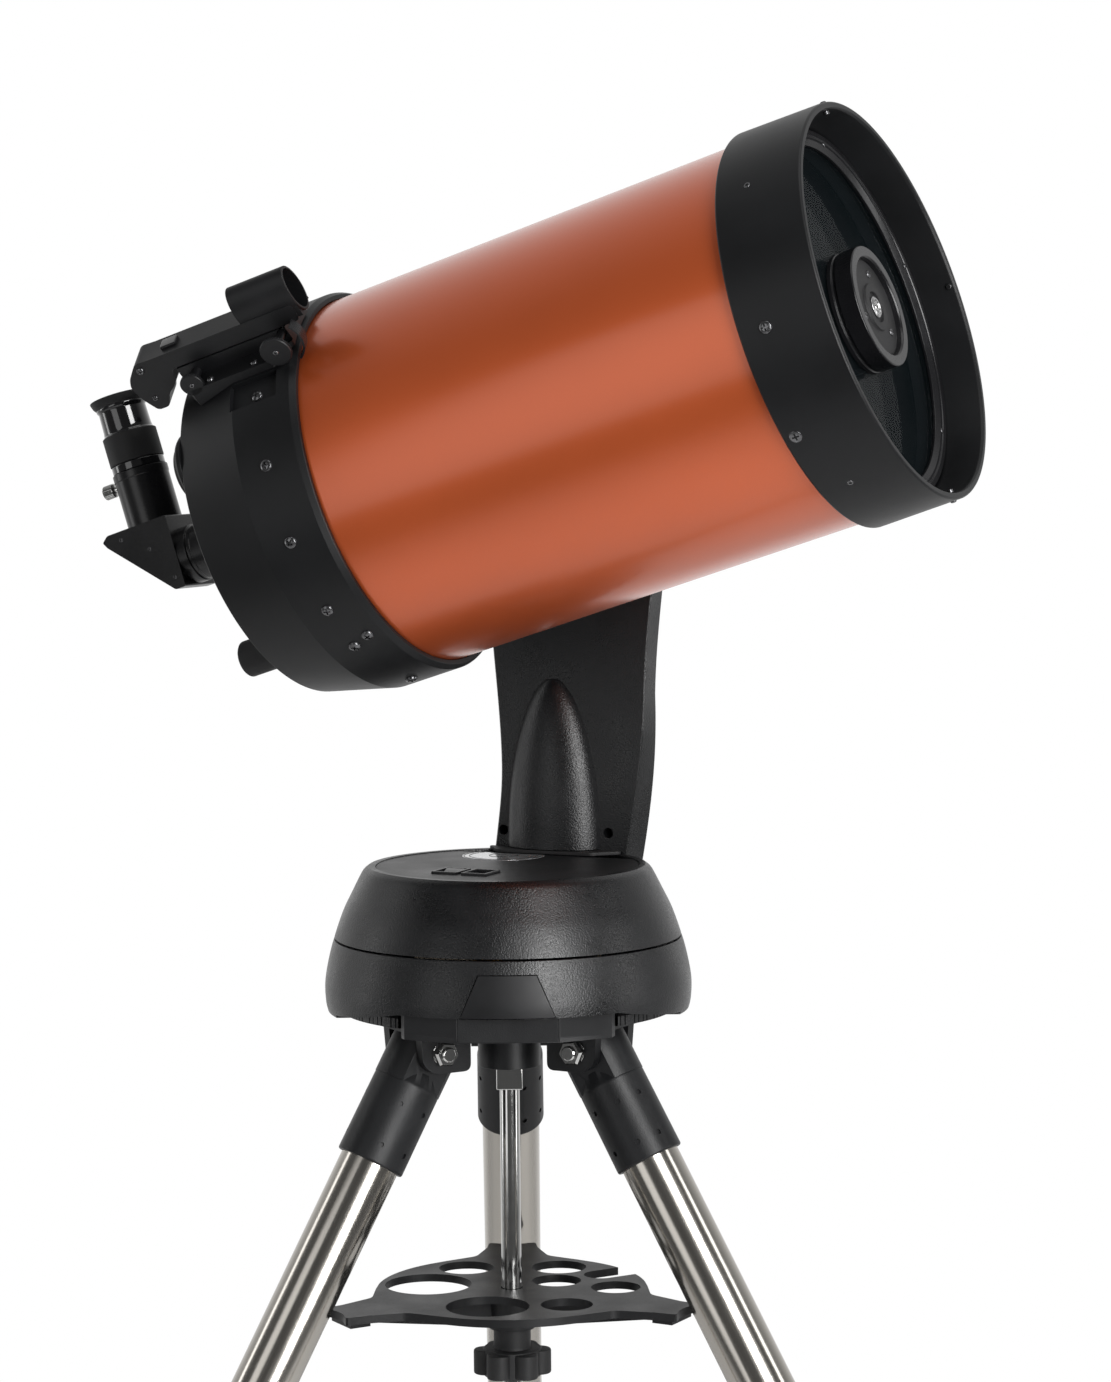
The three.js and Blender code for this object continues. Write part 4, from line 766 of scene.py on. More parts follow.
# ---- finder: X along the tube, Z outward from the optical axis ---------------------------
def finder():
    foot_outline = [(-112, -13), (-104, -24), (-47, -24), (-34, -11), (-34, 24), (-112, 24)]
    foot = prism("z", foot_outline, 108, 124)
    skin = [
        bar("x", CELL_R + GAP, REAR_CELL_CREASE, 0, sides=224, soft=0),
        turned("x", [(0, REAR_CELL_BACK - 5), (REAR_CELL_BACK_R - 0.8, REAR_CELL_BACK - 5),
                     (CELL_R + GAP, REAR_CELL_CREASE + 0.1), (0, REAR_CELL_CREASE + 0.1)],
               sides=224, soft=0),
    ]
    rail = block((-112, -9, 118), (-34, 9, 133))
    knob_hole = bar("y", 3, -30, -2, TILT_KNOB_AT)
    piece("finder_mount", FINDER, "tube", "plastic", foot, rail, join=True,
          cuts=[*skin, knob_hole], bevel=0.6, replaces=["finder_bracket"])
    seats = [(-59.2, -19), (-90.9, -19), (-59.2, 19), (-90.9, 19)]
    piece("finder_mount_screws", FINDER, "tube", "screw",
          *[moved(MIDDLE_PHILLIPS, facing((x, y, 124), (0, 0, 1), roll=20 + x)) for x, y in seats])
    # Lock knob at the rail's back
    lock = [(0, -24), (7, -24), (7.5, -23.4), (7.5, -21.6), (7, -21), (3, -21), (3, -9), (0, -9)]
    piece("finder_lock_knob", FINDER, "tube", "plastic",
          turned("y", lock, LOCK_KNOB_AT, sides=96, ribs=(32, 0.3, -23.3, -21.7)))
    end = Vector(LOCK_KNOB_AT) + Vector((0, -24, 0))
    piece("finder_lock_screw", FINDER, "tube", "screw",
          moved(socket_screw(r=1.6, proud=0.2), facing(end, (0, -1, 0))))

    tail = [(-124, 146), (-134, 146.6), (-143, 138), (-146, 132), (-144, 122), (-139, 111.5), (-131, 111.5),
            (-125.5, 120), (-118.5, 124), (-114, 134.5), (-22, 134.5), (-22, 146)]
    neck = slab([(-56, 136), (-19, 136), (-19, 149), (-56, 149)], -8.5, 8.5)
    narrow = Matrix.Diagonal((1, FINDER_HOOD_WIDTH, 1, 1))
    sight_at = (0, 0, FINDER_AXIS)
    hood = moved(turned("x", [(0, -57.5), (FINDER_HOOD_R, -57.5), (FINDER_HOOD_R, -17.7), (0, -17.7)],
                        sight_at, sides=128, soft=0.5), narrow)
    sight = moved(bar("x", FINDER_HOOD_R - 1.8, -46, -10, sight_at, sides=96), narrow)
    piece("finder_sight", FINDER, "finder", "plastic", slab(tail, -9.5, 9.5, soft=2.5), neck, hood,
          join=True, cuts=[sight], bevel=0.5, replaces=["finder_body"])
    window = moved(bar("x", FINDER_HOOD_R - 2, -40, -38.6, sight_at, sides=64, soft=0.2), narrow)
    piece("finder_glass", FINDER, "finder", "lens", window)
    # Spring strip that curls round the front of the tilt knob
    middle = (TILT_KNOB_AT[0], TILT_KNOB_AT[2])
    strip = arc(middle, 16.2, -62, 34, 20) + arc(middle, 15, 34, -62, 20)
    piece("finder_spring", FINDER, "tube", "anodised", slab(strip, -21, -13))
    # Switch slider on the sight's top
    slider = block((-116, -4, 145.5), (-105, 4, 148.2))
    piece("finder_switch", FINDER, "finder", "gloss", slider, bevel=0.8)
    upper = [moved(MIDDLE_PHILLIPS, facing((-133, 9.5 * side, 141), (0, side, 0))) for side in (-1, 1)]
    lower = moved(SMALL_PHILLIPS, facing((-136, -9.5, 120), (0, -1, 0)))
    piece("finder_sight_screws", FINDER, "finder", "screw", *upper, lower)
    disc = [(0, -28.5), (9.2, -28.5), (9.8, -27.8), (9.8, -26.1), (9.2, -25.5), (2.4, -25.5), (2.4, -4),
            (0, -4)]
    piece("finder_tilt_knob", FINDER, "finder_knob", "plastic",
          turned("y", disc, TILT_KNOB_AT, sides=160, soft=0.3, ribs=(40, 0.3, -27.7, -26.2)),
          replaces=["finder_knob"])
    end = Vector(TILT_KNOB_AT) + Vector((0, -28.5, 0))
    piece("finder_tilt_screw", FINDER, "finder_knob", "screw",
          moved(socket_screw(r=1.8, proud=0.2), facing(end, (0, -1, 0))))


# ---- dovetail bar and saddle ----------------------------------------------------------
def dovetail():
    section = [(BAR_NEAR, -BAR_HALF_NARROW), (BAR_NEAR, BAR_HALF_NARROW), (BAR_FAR, BAR_HALF),
               (BAR_FAR, -BAR_HALF)]
    start, stop = BAR_ENDS
    pads = [block((x, CELL_R + GAP, -14), (x + 30, BAR_NEAR + 1, 14)) for x in (start + 2, stop - 32)]
    grooves = [block((start - 5, BAR_FAR - 1.2, z - 1.5), (stop + 5, BAR_FAR + 2, z + 1.5)) for z in (-9, 9)]
    piece("dovetail", TUBE, "tube", "cell", prism("x", section, *BAR_ENDS), *pads, join=True, cuts=grooves,
          bevel=0.6, replaces=["dovetail_bar"])
    spots = [moved(LOW_PHILLIPS, facing((x, BAR_FAR - 0.25, 0), (0, 1, 0))) for x in (-66, -48, 260, 278)]
    piece("dovetail_screws", TUBE, "tube", "screw", *spots)


def jaw(side, half, clearance):
    """A jaw on one side of the bar, clear of the bar's sloping edge."""
    slope = (BAR_HALF - BAR_HALF_NARROW) / (BAR_FAR - BAR_NEAR)

    def grip(y):
        return side * (BAR_HALF_NARROW + slope * (y - BAR_NEAR) + clearance)

    outer = side * JAW_OUTER
    near, far = BAR_NEAR + 3, BAR_FAR + GAP
    section = [(near, grip(near)), (far, grip(far)), (far, outer), (near + 3, outer),
               (near, outer - side * 3)]
    return prism("x", section, -half, half)


def saddle():
    face, middle = ARM_FACE - TUBE_SIDE, (BAR_FAR + SADDLE_BACK) / 2 + 1
    bed = block((-JAW_HALF, BAR_FAR + GAP, -38), (JAW_HALF, SADDLE_BACK, JAW_OUTER))
    hub = turned("y", [(0, SADDLE_BACK - 2), (50, SADDLE_BACK - 2), (50, SADDLE_BACK + 3),
                       (44, SADDLE_BACK + 6), (44, face - 1), (0, face - 1)], sides=128, soft=1)
    boss = bar("z", 9, -52, -30, (0, middle, 0))
    cuts = [bar("z", 4.5, -60, -20, (0, middle, 0)), bar("y", 20 + GAP, SADDLE_BACK + 2, face, sides=64)]
    piece("saddle_clamp", TUBE, "saddle", "fine_cast", bed, hub, boss, jaw(1, JAW_HALF, 0.45),
          join=True, cuts=cuts, bevel=0.8, replaces=["saddle"])
    lower = moved(jaw(-1, JAW_HALF - 12, 0.5), Matrix.Translation((0, -GAP, 0)))
    piece("lower_jaw", TUBE, "clamp_jaw", "fine_cast", lower, bevel=0.8, replaces=["clamp_jaw"])
    knob = [(0, -84), (14, -84), (16, -82), (16, -68), (14, -66), (8, -64), (8, -53), (4, -53),
            (4, -24), (0, -24)]
    piece("saddle_knob", TUBE, "clamp_knob", "rubber",
          turned("z", knob, (0, middle, 0), sides=144, soft=1, ribs=(9, 2.6, -82.5, -67)),
          replaces=["clamp_knob"])


# ---- drives ------------------------------------------------------------------------------
def gear_ring(axis, r, low, high, at=(0, 0, 0), teeth=120):
    """A toothed rim on a disc; the tooth tips reach r."""
    return turned(axis, [(0, low), (r, low), (r, high), (0, high)], at, sides=teeth * 6, soft=0.25,
                  ribs=(teeth, 1.1, low + 0.2, high - 0.2))


def worm(name, place, body, at, r, ends, node):
    """A shaft with a raised helical thread along its middle."""
    start, stop = -15.5, 15.5
    core, low, high = r - 1.4, *ends
    shaft = [(0, low), (3, low), (3, -18), (core, -16), (core, 16), (3, 18), (3, high), (0, high)]
    turns, steps, pitch = 10, 40, (stop - start) / 10.6
    section = ((core - 0.3, -0.42), (r, -0.16), (r, 0.16), (core - 0.3, 0.42))
    rings = []
    for k in range(turns * steps + 1):
        angle = 2 * math.pi * k / steps
        x = start + pitch * 0.3 + pitch * k / steps
        rings.append([(x + at[0] + pitch * h, reach * math.cos(angle) + at[1],
                       reach * math.sin(angle) + at[2]) for reach, h in section])
    piece(name, place, body, "steel", turned("x", shaft, at, sides=48), lofted(rings), replaces=[node])


def drives():
    wheel, face = 42, ARM_SPLIT - TUBE_SIDE + 6
    shaft = [(0, SADDLE_BACK + 2.4), (20, SADDLE_BACK + 2.4), (20, face), (24, face - 0.01),
             (24, face + 0.4), (0, face + 0.4)]
    hub = [(0, face + 9.8), (12, face + 9.8), (12, face + 20), (0, face + 20)]
    piece("altitude_wheel", TUBE, "saddle", "brass", turned("y", shaft, sides=96), turned("y", hub),
          gear_ring("y", wheel, face, face + 10, teeth=120), replaces=["altitude_gear"])
    worm_z, worm_y = ALT_AXIS_Z - wheel - 7 - 0.6, face + TUBE_SIDE + 5
    worm("altitude_screw", HEAD, "altitude_worm", (ALT_AXIS_X, worm_y, worm_z), 7, (-30, 24),
         "altitude_worm")
    pivot = [(0, 655.4), (23, 655.4), (23, 672.2), (0, 672.2)]
    post = [(0, 681.8), (23, 681.8), (23, 690), (17, 690), (17, 716), (0, 716)]
    piece("azimuth_wheel", GROUND, "tripod", "brass", turned("z", pivot), turned("z", post),
          gear_ring("z", 60, 672, 682, teeth=150), replaces=["azimuth_gear"])
    worm("azimuth_screw", HEAD, "azimuth_worm", (0, -67.6, 677), 7, (-24, 30), "azimuth_worm")
    for node in ("altitude_motor", "azimuth_motor", "battery_pack"):
        dressed(node, "plastic")


def dressed(node, look):
    """A CAD node that keeps its mesh and takes a finish."""
    obj = frame["nodes"][node]
    finish, slot = LOOKS[look]
    obj.data.materials.clear()
    obj.data.materials.append(finish)


# ---- base: X ahead, Y towards the arm, about the azimuth axis --------------------------------
def smooth_profile(points, steps=6):
    """A smooth curve through profile points."""
    points = [Vector(p) for p in points]
    curve = [tuple(points[0])]
    for i in range(len(points) - 1):
        before, after = points[max(0, i - 1)], points[min(len(points) - 1, i + 2)]
        a, d = points[i], points[i + 1]
        b, c = a + (d - before) / 6, d - (after - a) / 6
        curve += bezier(tuple(a), tuple(b), tuple(c), tuple(d), steps)
    return curve


def window(at, size, low, high):
    (x, y), (w, d) = at, size
    return block((x - w / 2, y - d / 2, low), (x + w / 2, y + d / 2, high))


def envelope(margin):
    """Everything inside the upper shell's outer surface, grown by a margin."""
    skin = [(r + margin, z + margin / 2) for r, z in smooth_profile(UPPER_PROFILE)]
    profile = [(0, SEAM_Z - 20), (skin[0][0], SEAM_Z - 20), *skin, (0, skin[-1][1])]
    return turned("z", profile, sides=160, soft=0)


def panel_outline(margin):
    """The front panel, wider at its foot, grown by a margin."""
    low, high = LUG_TOP + 1 - margin, 686.8 + margin
    return [(-29.2 - margin, low), (29.2 + margin, low), (17.8 + margin, high), (-17.8 - margin, high)]


def lower_base():
    outer = smooth_profile(LOWER_PROFILE)
    inner = [(r - BASE_WALL, z) for r, z in reversed(outer) if z > FLOOR_TOP]
    profile = [(26, BASE_BOTTOM), *outer, *inner, (26, FLOOR_TOP)]
    notch = block((-68, -125, BASE_BOTTOM - 1), (68, -82, LUG_TOP + GAP))
    pocket = slab(panel_outline(0.5), -125, -110)
    # The wall's lower edge rises to the front and shows the floor's rim behind it.
    edge = [(-112, 649), (-112, 651), (-68, LUG_TOP + GAP), (68, LUG_TOP + GAP), (112, 651), (112, 649)]
    rise = object_from("rise_draft", [slab(edge, -125, -40)])
    boolean(rise, "DIFFERENCE", [bar("z", 107, 640, 670, sides=224, soft=0)])
    piece("lower_shell", GROUND, "tripod", "cast", turned("z", profile, sides=224, closed=True, soft=0.5),
          cuts=[taken(rise), notch, pocket], replaces=["base_lower_shell"])
    # The floor's rim takes the lining's dull near-black, darker than the casting around it: painted shade in
    # the recess behind the rising edge.
    rim = pipe("z", 107, 104, BASE_BOTTOM, LUG_TOP + 2, sides=160, soft=0)
    piece("floor_rim_painted_shade", GROUND, "tripod", "inside", rim, cuts=[notch])
    grown = [(r + 0.6, z) for r, z in outer]
    skin = turned("z", [(0, BASE_BOTTOM), *grown, (0, SEAM_Z - 0.6)], sides=224, soft=0)
    panel = object_from("panel_draft", [slab(panel_outline(0), -125, -110.8)])
    boolean(panel, "INTERSECT", [skin])
    piece("socket_panel", GROUND, "tripod", "plastic", taken(panel), bevel=0.5, replaces=["front_panel"])


def upper_base():
    outer = smooth_profile(UPPER_PROFILE)
    inner = [(r - BASE_WALL, min(z, DECK - 3.4)) for r, z in reversed(outer) if z < 736]
    profile = [*outer, (LID_R + 0.8, 741.6), (LID_R + GAP, 741.2), (LID_R + GAP, DECK - GAP),
               (66, DECK - GAP), (66, DECK - 3.4), *inner]
    shell = turned("z", profile, sides=224, closed=True, soft=0.3)
    bridge = block((-30, -69, DECK - 6), (30, 69, DECK - GAP))
    bearing = bar("z", 26, 691, DECK - 1)
    cuts = [bar("z", 17 + GAP, 680, 720), window(SWITCH_AT, (14, 18), DECK - 12, DECK + 5),
            window(JACK_AT, (14, 18), DECK - 12, DECK + 5)]
    piece("upper_shell", HEAD, "head", "cast", shell, bridge, bearing, join=True, cuts=cuts,
          replaces=["base_upper_shell"])
    start = math.degrees(math.asin(LID_BACK / LID_R))
    outline = arc((0, 0), LID_R, -180 - start, start, 160)
    holes = [window(at, (18.4, 22.4), DECK - 1, DECK_Z + 1) for at in (SWITCH_AT, JACK_AT)]
    disc_seat = bar("z", 27.4, DECK_Z - 0.5, DECK_Z + 2, at=DISC_AT, sides=96)
    piece("lid", HEAD, "battery_cover", "fine_cast", prism("z", outline, DECK, DECK_Z),
          cuts=[*holes, disc_seat], bevel=0.7, replaces=["battery_cover"])
    level_disc()
    switch_and_jack()


def level_disc():
    """A silver disc on the lid, cut off where the arm stands."""
    plate = [(0, DECK_Z - 0.4), (27, DECK_Z - 0.4), (27, DECK_Z + 0.1), (0, DECK_Z + 0.1)]
    edge = block((-90, LID_BACK, DECK_Z - 2), (90, 100, DECK_Z + 2))
    piece("lid_disc", HEAD, "battery_cover", "silver", turned("z", plate, DISC_AT, sides=128, soft=0.1),
          cuts=[edge])
    rings = [pipe("z", r + 0.5, r, DECK_Z + 0.05, DECK_Z + 0.25, DISC_AT, sides=96, soft=0.05)
             for r in (9, 22, 25.6)]
    piece("lid_disc_rings", HEAD, "battery_cover", "plastic", *rings, cuts=[edge])


def switch_and_jack():
    low, high = DECK - 3, DECK + 4.6
    frames = []
    for at in (SWITCH_AT, JACK_AT):
        rim = object_from("rim_draft", [window(at, (17.6, 21.6), DECK + 0.1, DECK_Z + 1.6)])
        boolean(rim, "DIFFERENCE", [window(at, (13.8, 17.8), low - 2, high + 2)])
        frames.append(taken(rim))
    piece("socket_rims", HEAD, "head", "anodised", *frames, bevel=0.6)
    rocker = [(-7.9, -4), (7.9, -4), (7.9, 4.8), (4, 4.1), (0, 3), (-4, 4.1), (-7.9, 4.8)]
    tilt = Matrix.Rotation(math.radians(90), 4, "Z") @ Matrix.Rotation(math.radians(-7), 4, "Y")
    seat = Matrix.Translation((*SWITCH_AT, DECK))
    piece("rocker", HEAD, "power_switch", "gloss", moved(slab(rocker, -6.4, 6.4), seat @ tilt), bevel=0.5,
          replaces=["power_switch"])
    piece("jack_body", HEAD, "head", "gloss", window(JACK_AT, (13.2, 17.2), DECK - 10, DECK + 3.2),
          cuts=[bar("z", 4.6, DECK - 6, DECK + 6, (*JACK_AT, 0))], bevel=0.5, replaces=["power_jack"])
    piece("jack_pin", HEAD, "head", "chrome", bar("z", 1.1, DECK - 6, DECK + 1, (*JACK_AT, 0), sides=24),
          pipe("z", 4.5, 4.1, DECK - 5, DECK + 3, (*JACK_AT, 0), sides=40))


# ---- arm ------------------------------------------------------------------------------------
def arm_outline(inset, foot, flare=0, steps=20):
    """Outline of the arm in X and Z: a round head on a waisted neck that flares at the foot."""
    r, front = ARM_HEAD_R - inset, flare - inset
    start, neck = (-50 + inset, foot), (-39.5 + inset, 797)
    left, right = (ALT_AXIS_X - r, ALT_AXIS_Z), (ALT_AXIS_X + r, ALT_AXIS_Z)
    waist, end = (64 - inset, 845), (43 + front, foot)
    points = [start]
    points += bezier(start, (-42 + inset, 762), (-39.5 + inset, 775), neck, steps)
    points += bezier(neck, (-40 + inset, 850), (ALT_AXIS_X - r, 900), left, steps)
    points += arc((ALT_AXIS_X, ALT_AXIS_Z), r, 180, 0, 2 * steps)[1:]
    points += bezier(right, (ALT_AXIS_X + r, 930), (65.5 - inset, 900), waist, steps)
    points += bezier(waist, (62.5 + front / 2 - inset / 2, 810), (58 + front, 775), end, steps)
    return points


def arm_skin(depths, foot):
    """The arm's outline at several depths, each (depth, inset, flare), skinned."""
    return lofted([[(x, depth, z) for x, z in arm_outline(inset, foot, flare)]
                   for depth, inset, flare in depths])


def arch_boss():
    """Rounded boss on the arm's inner face. It narrows and flattens towards its top."""
    foot, apex, steps, sides = 744, 856, 40, 36
    rings = []
    for i in range(steps + 1):
        t = 1 - (1 - i / steps) ** 1.5 * 0.985 - 0.015
        spread = (1 - t * t) ** 0.52
        ring = []
        for j in range(sides + 1):
            a = math.pi * j / sides
            ring.append((-1.6 - 34 * spread * math.cos(a), ARM_FACE + 4 - (4 + 17 * spread) * math.sin(a),
                         foot + (apex - foot) * t))
        rings.append(ring)
    return lofted(rings)


def arm():
    carve = envelope(GAP)
    bore = bar("y", 20 + GAP, ARM_FACE - 5, ARM_SPLIT + 5, (ALT_AXIS_X, 0, ALT_AXIS_Z), sides=96)
    holes = [bar("y", 3.4, ARM_FACE - 1, ARM_FACE + 12, (x, 0, z), sides=40)
             for x, z in ((-38.2, 754), (37.5, 754.7))]
    body = arm_skin([(ARM_FACE, 0.9, 0), (ARM_FACE + 0.9, 0, 0), (ARM_SPLIT, 0, 5)], ARM_FOOT)
    piece("arm_frame", HEAD, "head", "cast", body, arch_boss(), join=True, cuts=[bore, carve, *holes],
          replaces=["fork_arm"])
    slope = moved(block((-120, -30, -130), (120, 30, 130)),
                  Matrix.Translation((0, ARM_BACK + 13.5, 740)) @ Matrix.Rotation(-0.13, 4, "X"))
    cover = [(ARM_SPLIT + GAP, 1.2, 5), (ARM_SPLIT + 1.6, 0.5, 5), (100, 4, 3), (104, 6.8, 1.6),
             (110, 11, 0), (118, 14.8, 0), (126, 19, 0), (134, 23.4, 0), (ARM_BACK - 1, 26, 0),
             (ARM_BACK, 27.6, 0)]
    hollow = arm_skin([(ARM_SPLIT - 5, 4, 0), (ARM_SPLIT + 12, 9, 0), (ARM_BACK - 8, 26, 0)], 760)
    piece("arm_shell", HEAD, "head", "cast", arm_skin(cover, ARM_FOOT), cuts=[slope, hollow, carve],
          replaces=["arm_cover"])
    screws = []
    for x, z in ((ALT_AXIS_X - 24, 1022), (ALT_AXIS_X + 24, 1022), (14, 880)):
        screws.append(moved(PHILLIPS, facing((x, ARM_BACK - 0.3, z), (0, 1, 0), roll=x)))
    piece("arm_shell_screws", HEAD, "head", "screw", *screws)
    # Round cap over the altitude axis on the cover's back
    cap = [(0, ARM_BACK - 3), (19, ARM_BACK - 3), (19, ARM_BACK - 0.6), (17.6, ARM_BACK), (0, ARM_BACK)]
    piece("altitude_cap", HEAD, "head", "plastic", turned("y", cap, (ALT_AXIS_X, 0, ALT_AXIS_Z), sides=96))
    # Gasket where the arm meets the lid's edge
    foot = [(-47, 71.5), (-41, 66), (-36, 57.5), (33, 57.5), (40, 66), (47, 71.5), (47, 74.6), (-47, 74.6)]
    piece("arm_foot_trim", HEAD, "head", "rubber", prism("z", foot, DECK_Z + 0.2, DECK_Z + 2.4, soft=4),
          cuts=[arch_boss()], bevel=0.4)


# ---- tripod -----------------------------------------------------------------------------------
def hinge_ears():
    """The pair of ears that holds one leg, and the hole for its bolt."""
    side = [(42, HEAD_TOP - 4), (78, HEAD_TOP - 4), (76, 622), (68, 616), (42, 616)]
    side = softened(side, 5, closed=True, steps=6)
    hole = bar("y", PIN_R + GAP, -40, 40, (HINGE_R, 0, PIN_Z))
    return [slab(side, a, b) for a, b in ((-EAR_OUTER, -EAR_INNER), (EAR_INNER, EAR_OUTER))], hole


def tripod_head():
    corners = []
    for azimuth in LEG_AZIMUTHS:
        corners += [polar(98, azimuth - 24), polar(98, azimuth + 24)]
    top = prism("z", softened(corners, 8, closed=True), HEAD_TOP - 5, HEAD_TOP)
    front = [(-64, -92), (-32, -109), (32, -109), (64, -92)]
    lug = prism("z", [(-66, -86), *front, (66, -86), (40, -60), (-40, -60)], HEAD_TOP - 5, HEAD_TOP - 1)
    face = prism("z", [(-66, -87), *front, (66, -87)], HEAD_TOP - 3, LUG_TOP)
    boss = bar("z", 20, 612, HEAD_TOP - 2)
    ears, holes = [], []
    for azimuth in LEG_AZIMUTHS:
        pair, hole = hinge_ears()
        ears += [spun(ear, "Z", azimuth) for ear in pair]
        holes.append(spun(hole, "Z", azimuth))
    grooves = [block((x - 0.4, -109.6, HEAD_TOP - 4), (x + 0.4, -108.4, LUG_TOP + 1)) for x in (-31, 31)]
    piece("head_casting", GROUND, "tripod", "fine_cast", top, lug, face, boss, *ears, join=True,
          cuts=[*holes, *grooves, bar("z", ROD_R + GAP, 600, 640)], bevel=0.8, replaces=["tripod_head"])


def hinge_bolt(number):
    """A bolt through two ears, with a washer and a domed nut at each end."""
    place = GROUND @ Matrix.Rotation(math.radians(LEG_AZIMUTHS[number - 1]), 4, "Z") \
        @ Matrix.Translation(Vector((HINGE_R, 0, PIN_Z)) * MM)
    shank = turned("y", [(0, -27), (PIN_R, -27), (PIN_R, 27), (0, 27)])
    nut = turned("y", [(0, 0), (8.5, 0), (8.5, 4.2), (7.2, 6.1), (0, 6.1)], sides=6, soft=0)
    washer = bar("y", 7.9, -0.1, 0.9, sides=64, soft=0.2)
    dome = turned("y", [(0, 5.8), (4.8, 5.8), (4.8, 7.4), (4, 8.2), (0, 8.2)], sides=40, soft=0.2)
    ends = []
    for side, over in ((-1, math.pi), (1, 0)):
        seat = Matrix.Translation((0, side * (EAR_OUTER + 0.4), 0)) @ Matrix.Rotation(over, 4, "X")
        seat = seat @ Matrix.Rotation(math.radians(12 * number), 4, "Y")
        ends += [moved(solid, seat) for solid in (nut, washer, dome)]
    piece(f"hinge_bolt_set_{number}", place, "tripod", "chrome", shank, *ends, bevel=0.35,
          replaces=[f"hinge_bolt_{number}"])


def leg_sleeve(number, place):
    near = EAR_INNER - GAP
    knuckle = bar("y", 15, -near, near, sides=64)
    # The socket goes on between the ears as a round bar with two flats.
    web = object_from("web_draft", [turned("z", [(0, -26), (22, -26), (22, 2), (19, 5), (0, 5)], sides=128)])
    boolean(web, "DIFFERENCE", [block((-30, low, -40), (30, high, 20))
                                for low, high in ((near, 40), (-40, -near))])
    skirt = turned("z", [(0, -SLEEVE_END), (21.4, -SLEEVE_END), (22, -SLEEVE_END + 1), (21.7, -26),
                         (17, -15.5), (0, -15.5)], sides=128, soft=1.2)
    dots = []
    for turn in (205, 245, 295, 335, 65, 115):
        for z in (-40, -68):
            x, y = polar(21.8, turn)
            dots.append(moved(bar("z", 1.7, -1.1, 2, sides=20, soft=0), facing((x, y, z), (x, y, 0))))
    pin_hole = bar("y", PIN_R + GAP, -30, 30)
    tube_hole = bar("z", LEG_R + GAP, -SLEEVE_END - 5, -32, sides=96)
    piece(f"sleeve_{number}", place, f"leg_{number}", "fine_cast", knuckle, taken(web), skirt, join=True,
          cuts=[pin_hole, tube_hole, *dots], bevel=0.7, replaces=[f"leg_sleeve_{number}"])


def leg_clamp(number, place):
    """The collar that clamps the extension, and its knob on a stud."""
    low, knob_z = -COLLAR_END, -COLLAR_END + 13
    collar = turned("z", [(0, low), (20.5, low), (23, low + 3), (23, -600), (21.5, -598), (0, -598)],
                    sides=128, soft=1.2)
    ear = block((0, -9, low + 2), (31, 9, low + 24))
    cuts = [bar("z", LEG_R + GAP, -LEG_END - GAP, -590, sides=96),
            bar("z", EXTENSION_R + GAP, low - 5, -LEG_END, sides=96),
            bar("x", 3.4, 10, 40, (0, 0, knob_z))]
    grooves = [pipe("z", 25, 22.6, z, z + 1.6, sides=96) for z in (-612, -606)]
    piece(f"clamp_{number}", place, f"leg_{number}", "plastic", collar, ear, join=True,
          cuts=cuts + grooves, bevel=0.8, replaces=[f"leg_clamp_{number}"])
    knob = [(0, 31.8), (7, 31.8), (11, 36), (11, 46), (9.5, 48), (0, 48)]
    piece(f"clamp_grip_{number}", place, f"leg_knob_{number}", "rubber",
          turned("x", knob, (0, 0, knob_z), sides=120, soft=1, ribs=(6, 2.2, 35, 47)),
          replaces=[f"leg_clamp_knob_{number}"])
    piece(f"clamp_stud_{number}", place, f"leg_knob_{number}", "steel",
          bar("x", 3, 17.5, 32, (0, 0, knob_z), sides=32))


def leg_foot(number, place):
    """A rubber foot, cut level where it stands on the ground."""
    low = -HINGE_TO_GROUND - 30
    tip = turned("z", [(0, low), (21, low), (20, -FOOT_START - 8), (17.6, -FOOT_START),
                       (0, -FOOT_START)], sides=128, soft=1.5)
    socket = bar("z", EXTENSION_R + GAP, -FOOT_START - 12.4, -FOOT_START + 5, sides=96)
    below = moved(block((-600, -600, -100), (600, 600, 0)), between(place, GROUND))
    piece(f"foot_{number}", place, f"leg_extension_{number}", "rubber", tip, cuts=[socket, below],
          bevel=0.7, replaces=[f"leg_foot_{number}"])


def leg(number):
    place = leg_frame(number)
    hinge_bolt(number)
    leg_sleeve(number, place)
    piece(f"tube_{number}", place, f"leg_{number}", "stainless",
          pipe("z", LEG_R, LEG_R - 1.6, -LEG_END, -32.4, sides=160), replaces=[f"leg_tube_{number}"])
    leg_clamp(number, place)
    piece(f"extension_{number}", place, f"leg_extension_{number}", "stainless",
          pipe("z", EXTENSION_R, EXTENSION_R - 1.5, -FOOT_START - 12, -330, sides=128),
          replaces=[f"leg_extension_{number}"])
    leg_foot(number, place)


def tray_outline():
    """A round plate with three arms whose sides curve in to the plate."""
    points = []
    for azimuth in LEG_AZIMUTHS:
        side = [(TRAY_R + 0.5, 30), (TRAY_R + 5, 15), (TRAY_TIP_R - 14, 8.4), (TRAY_TIP_R, 7),
                (TRAY_TIP_R - 5, 2.4)]
        points += [polar(r, azimuth - offset) for r, offset in side]
        points += [polar(r, azimuth + offset) for r, offset in reversed(side)]
        points += arc((0, 0), TRAY_R, azimuth + 34, azimuth + 86, 26)
    return points


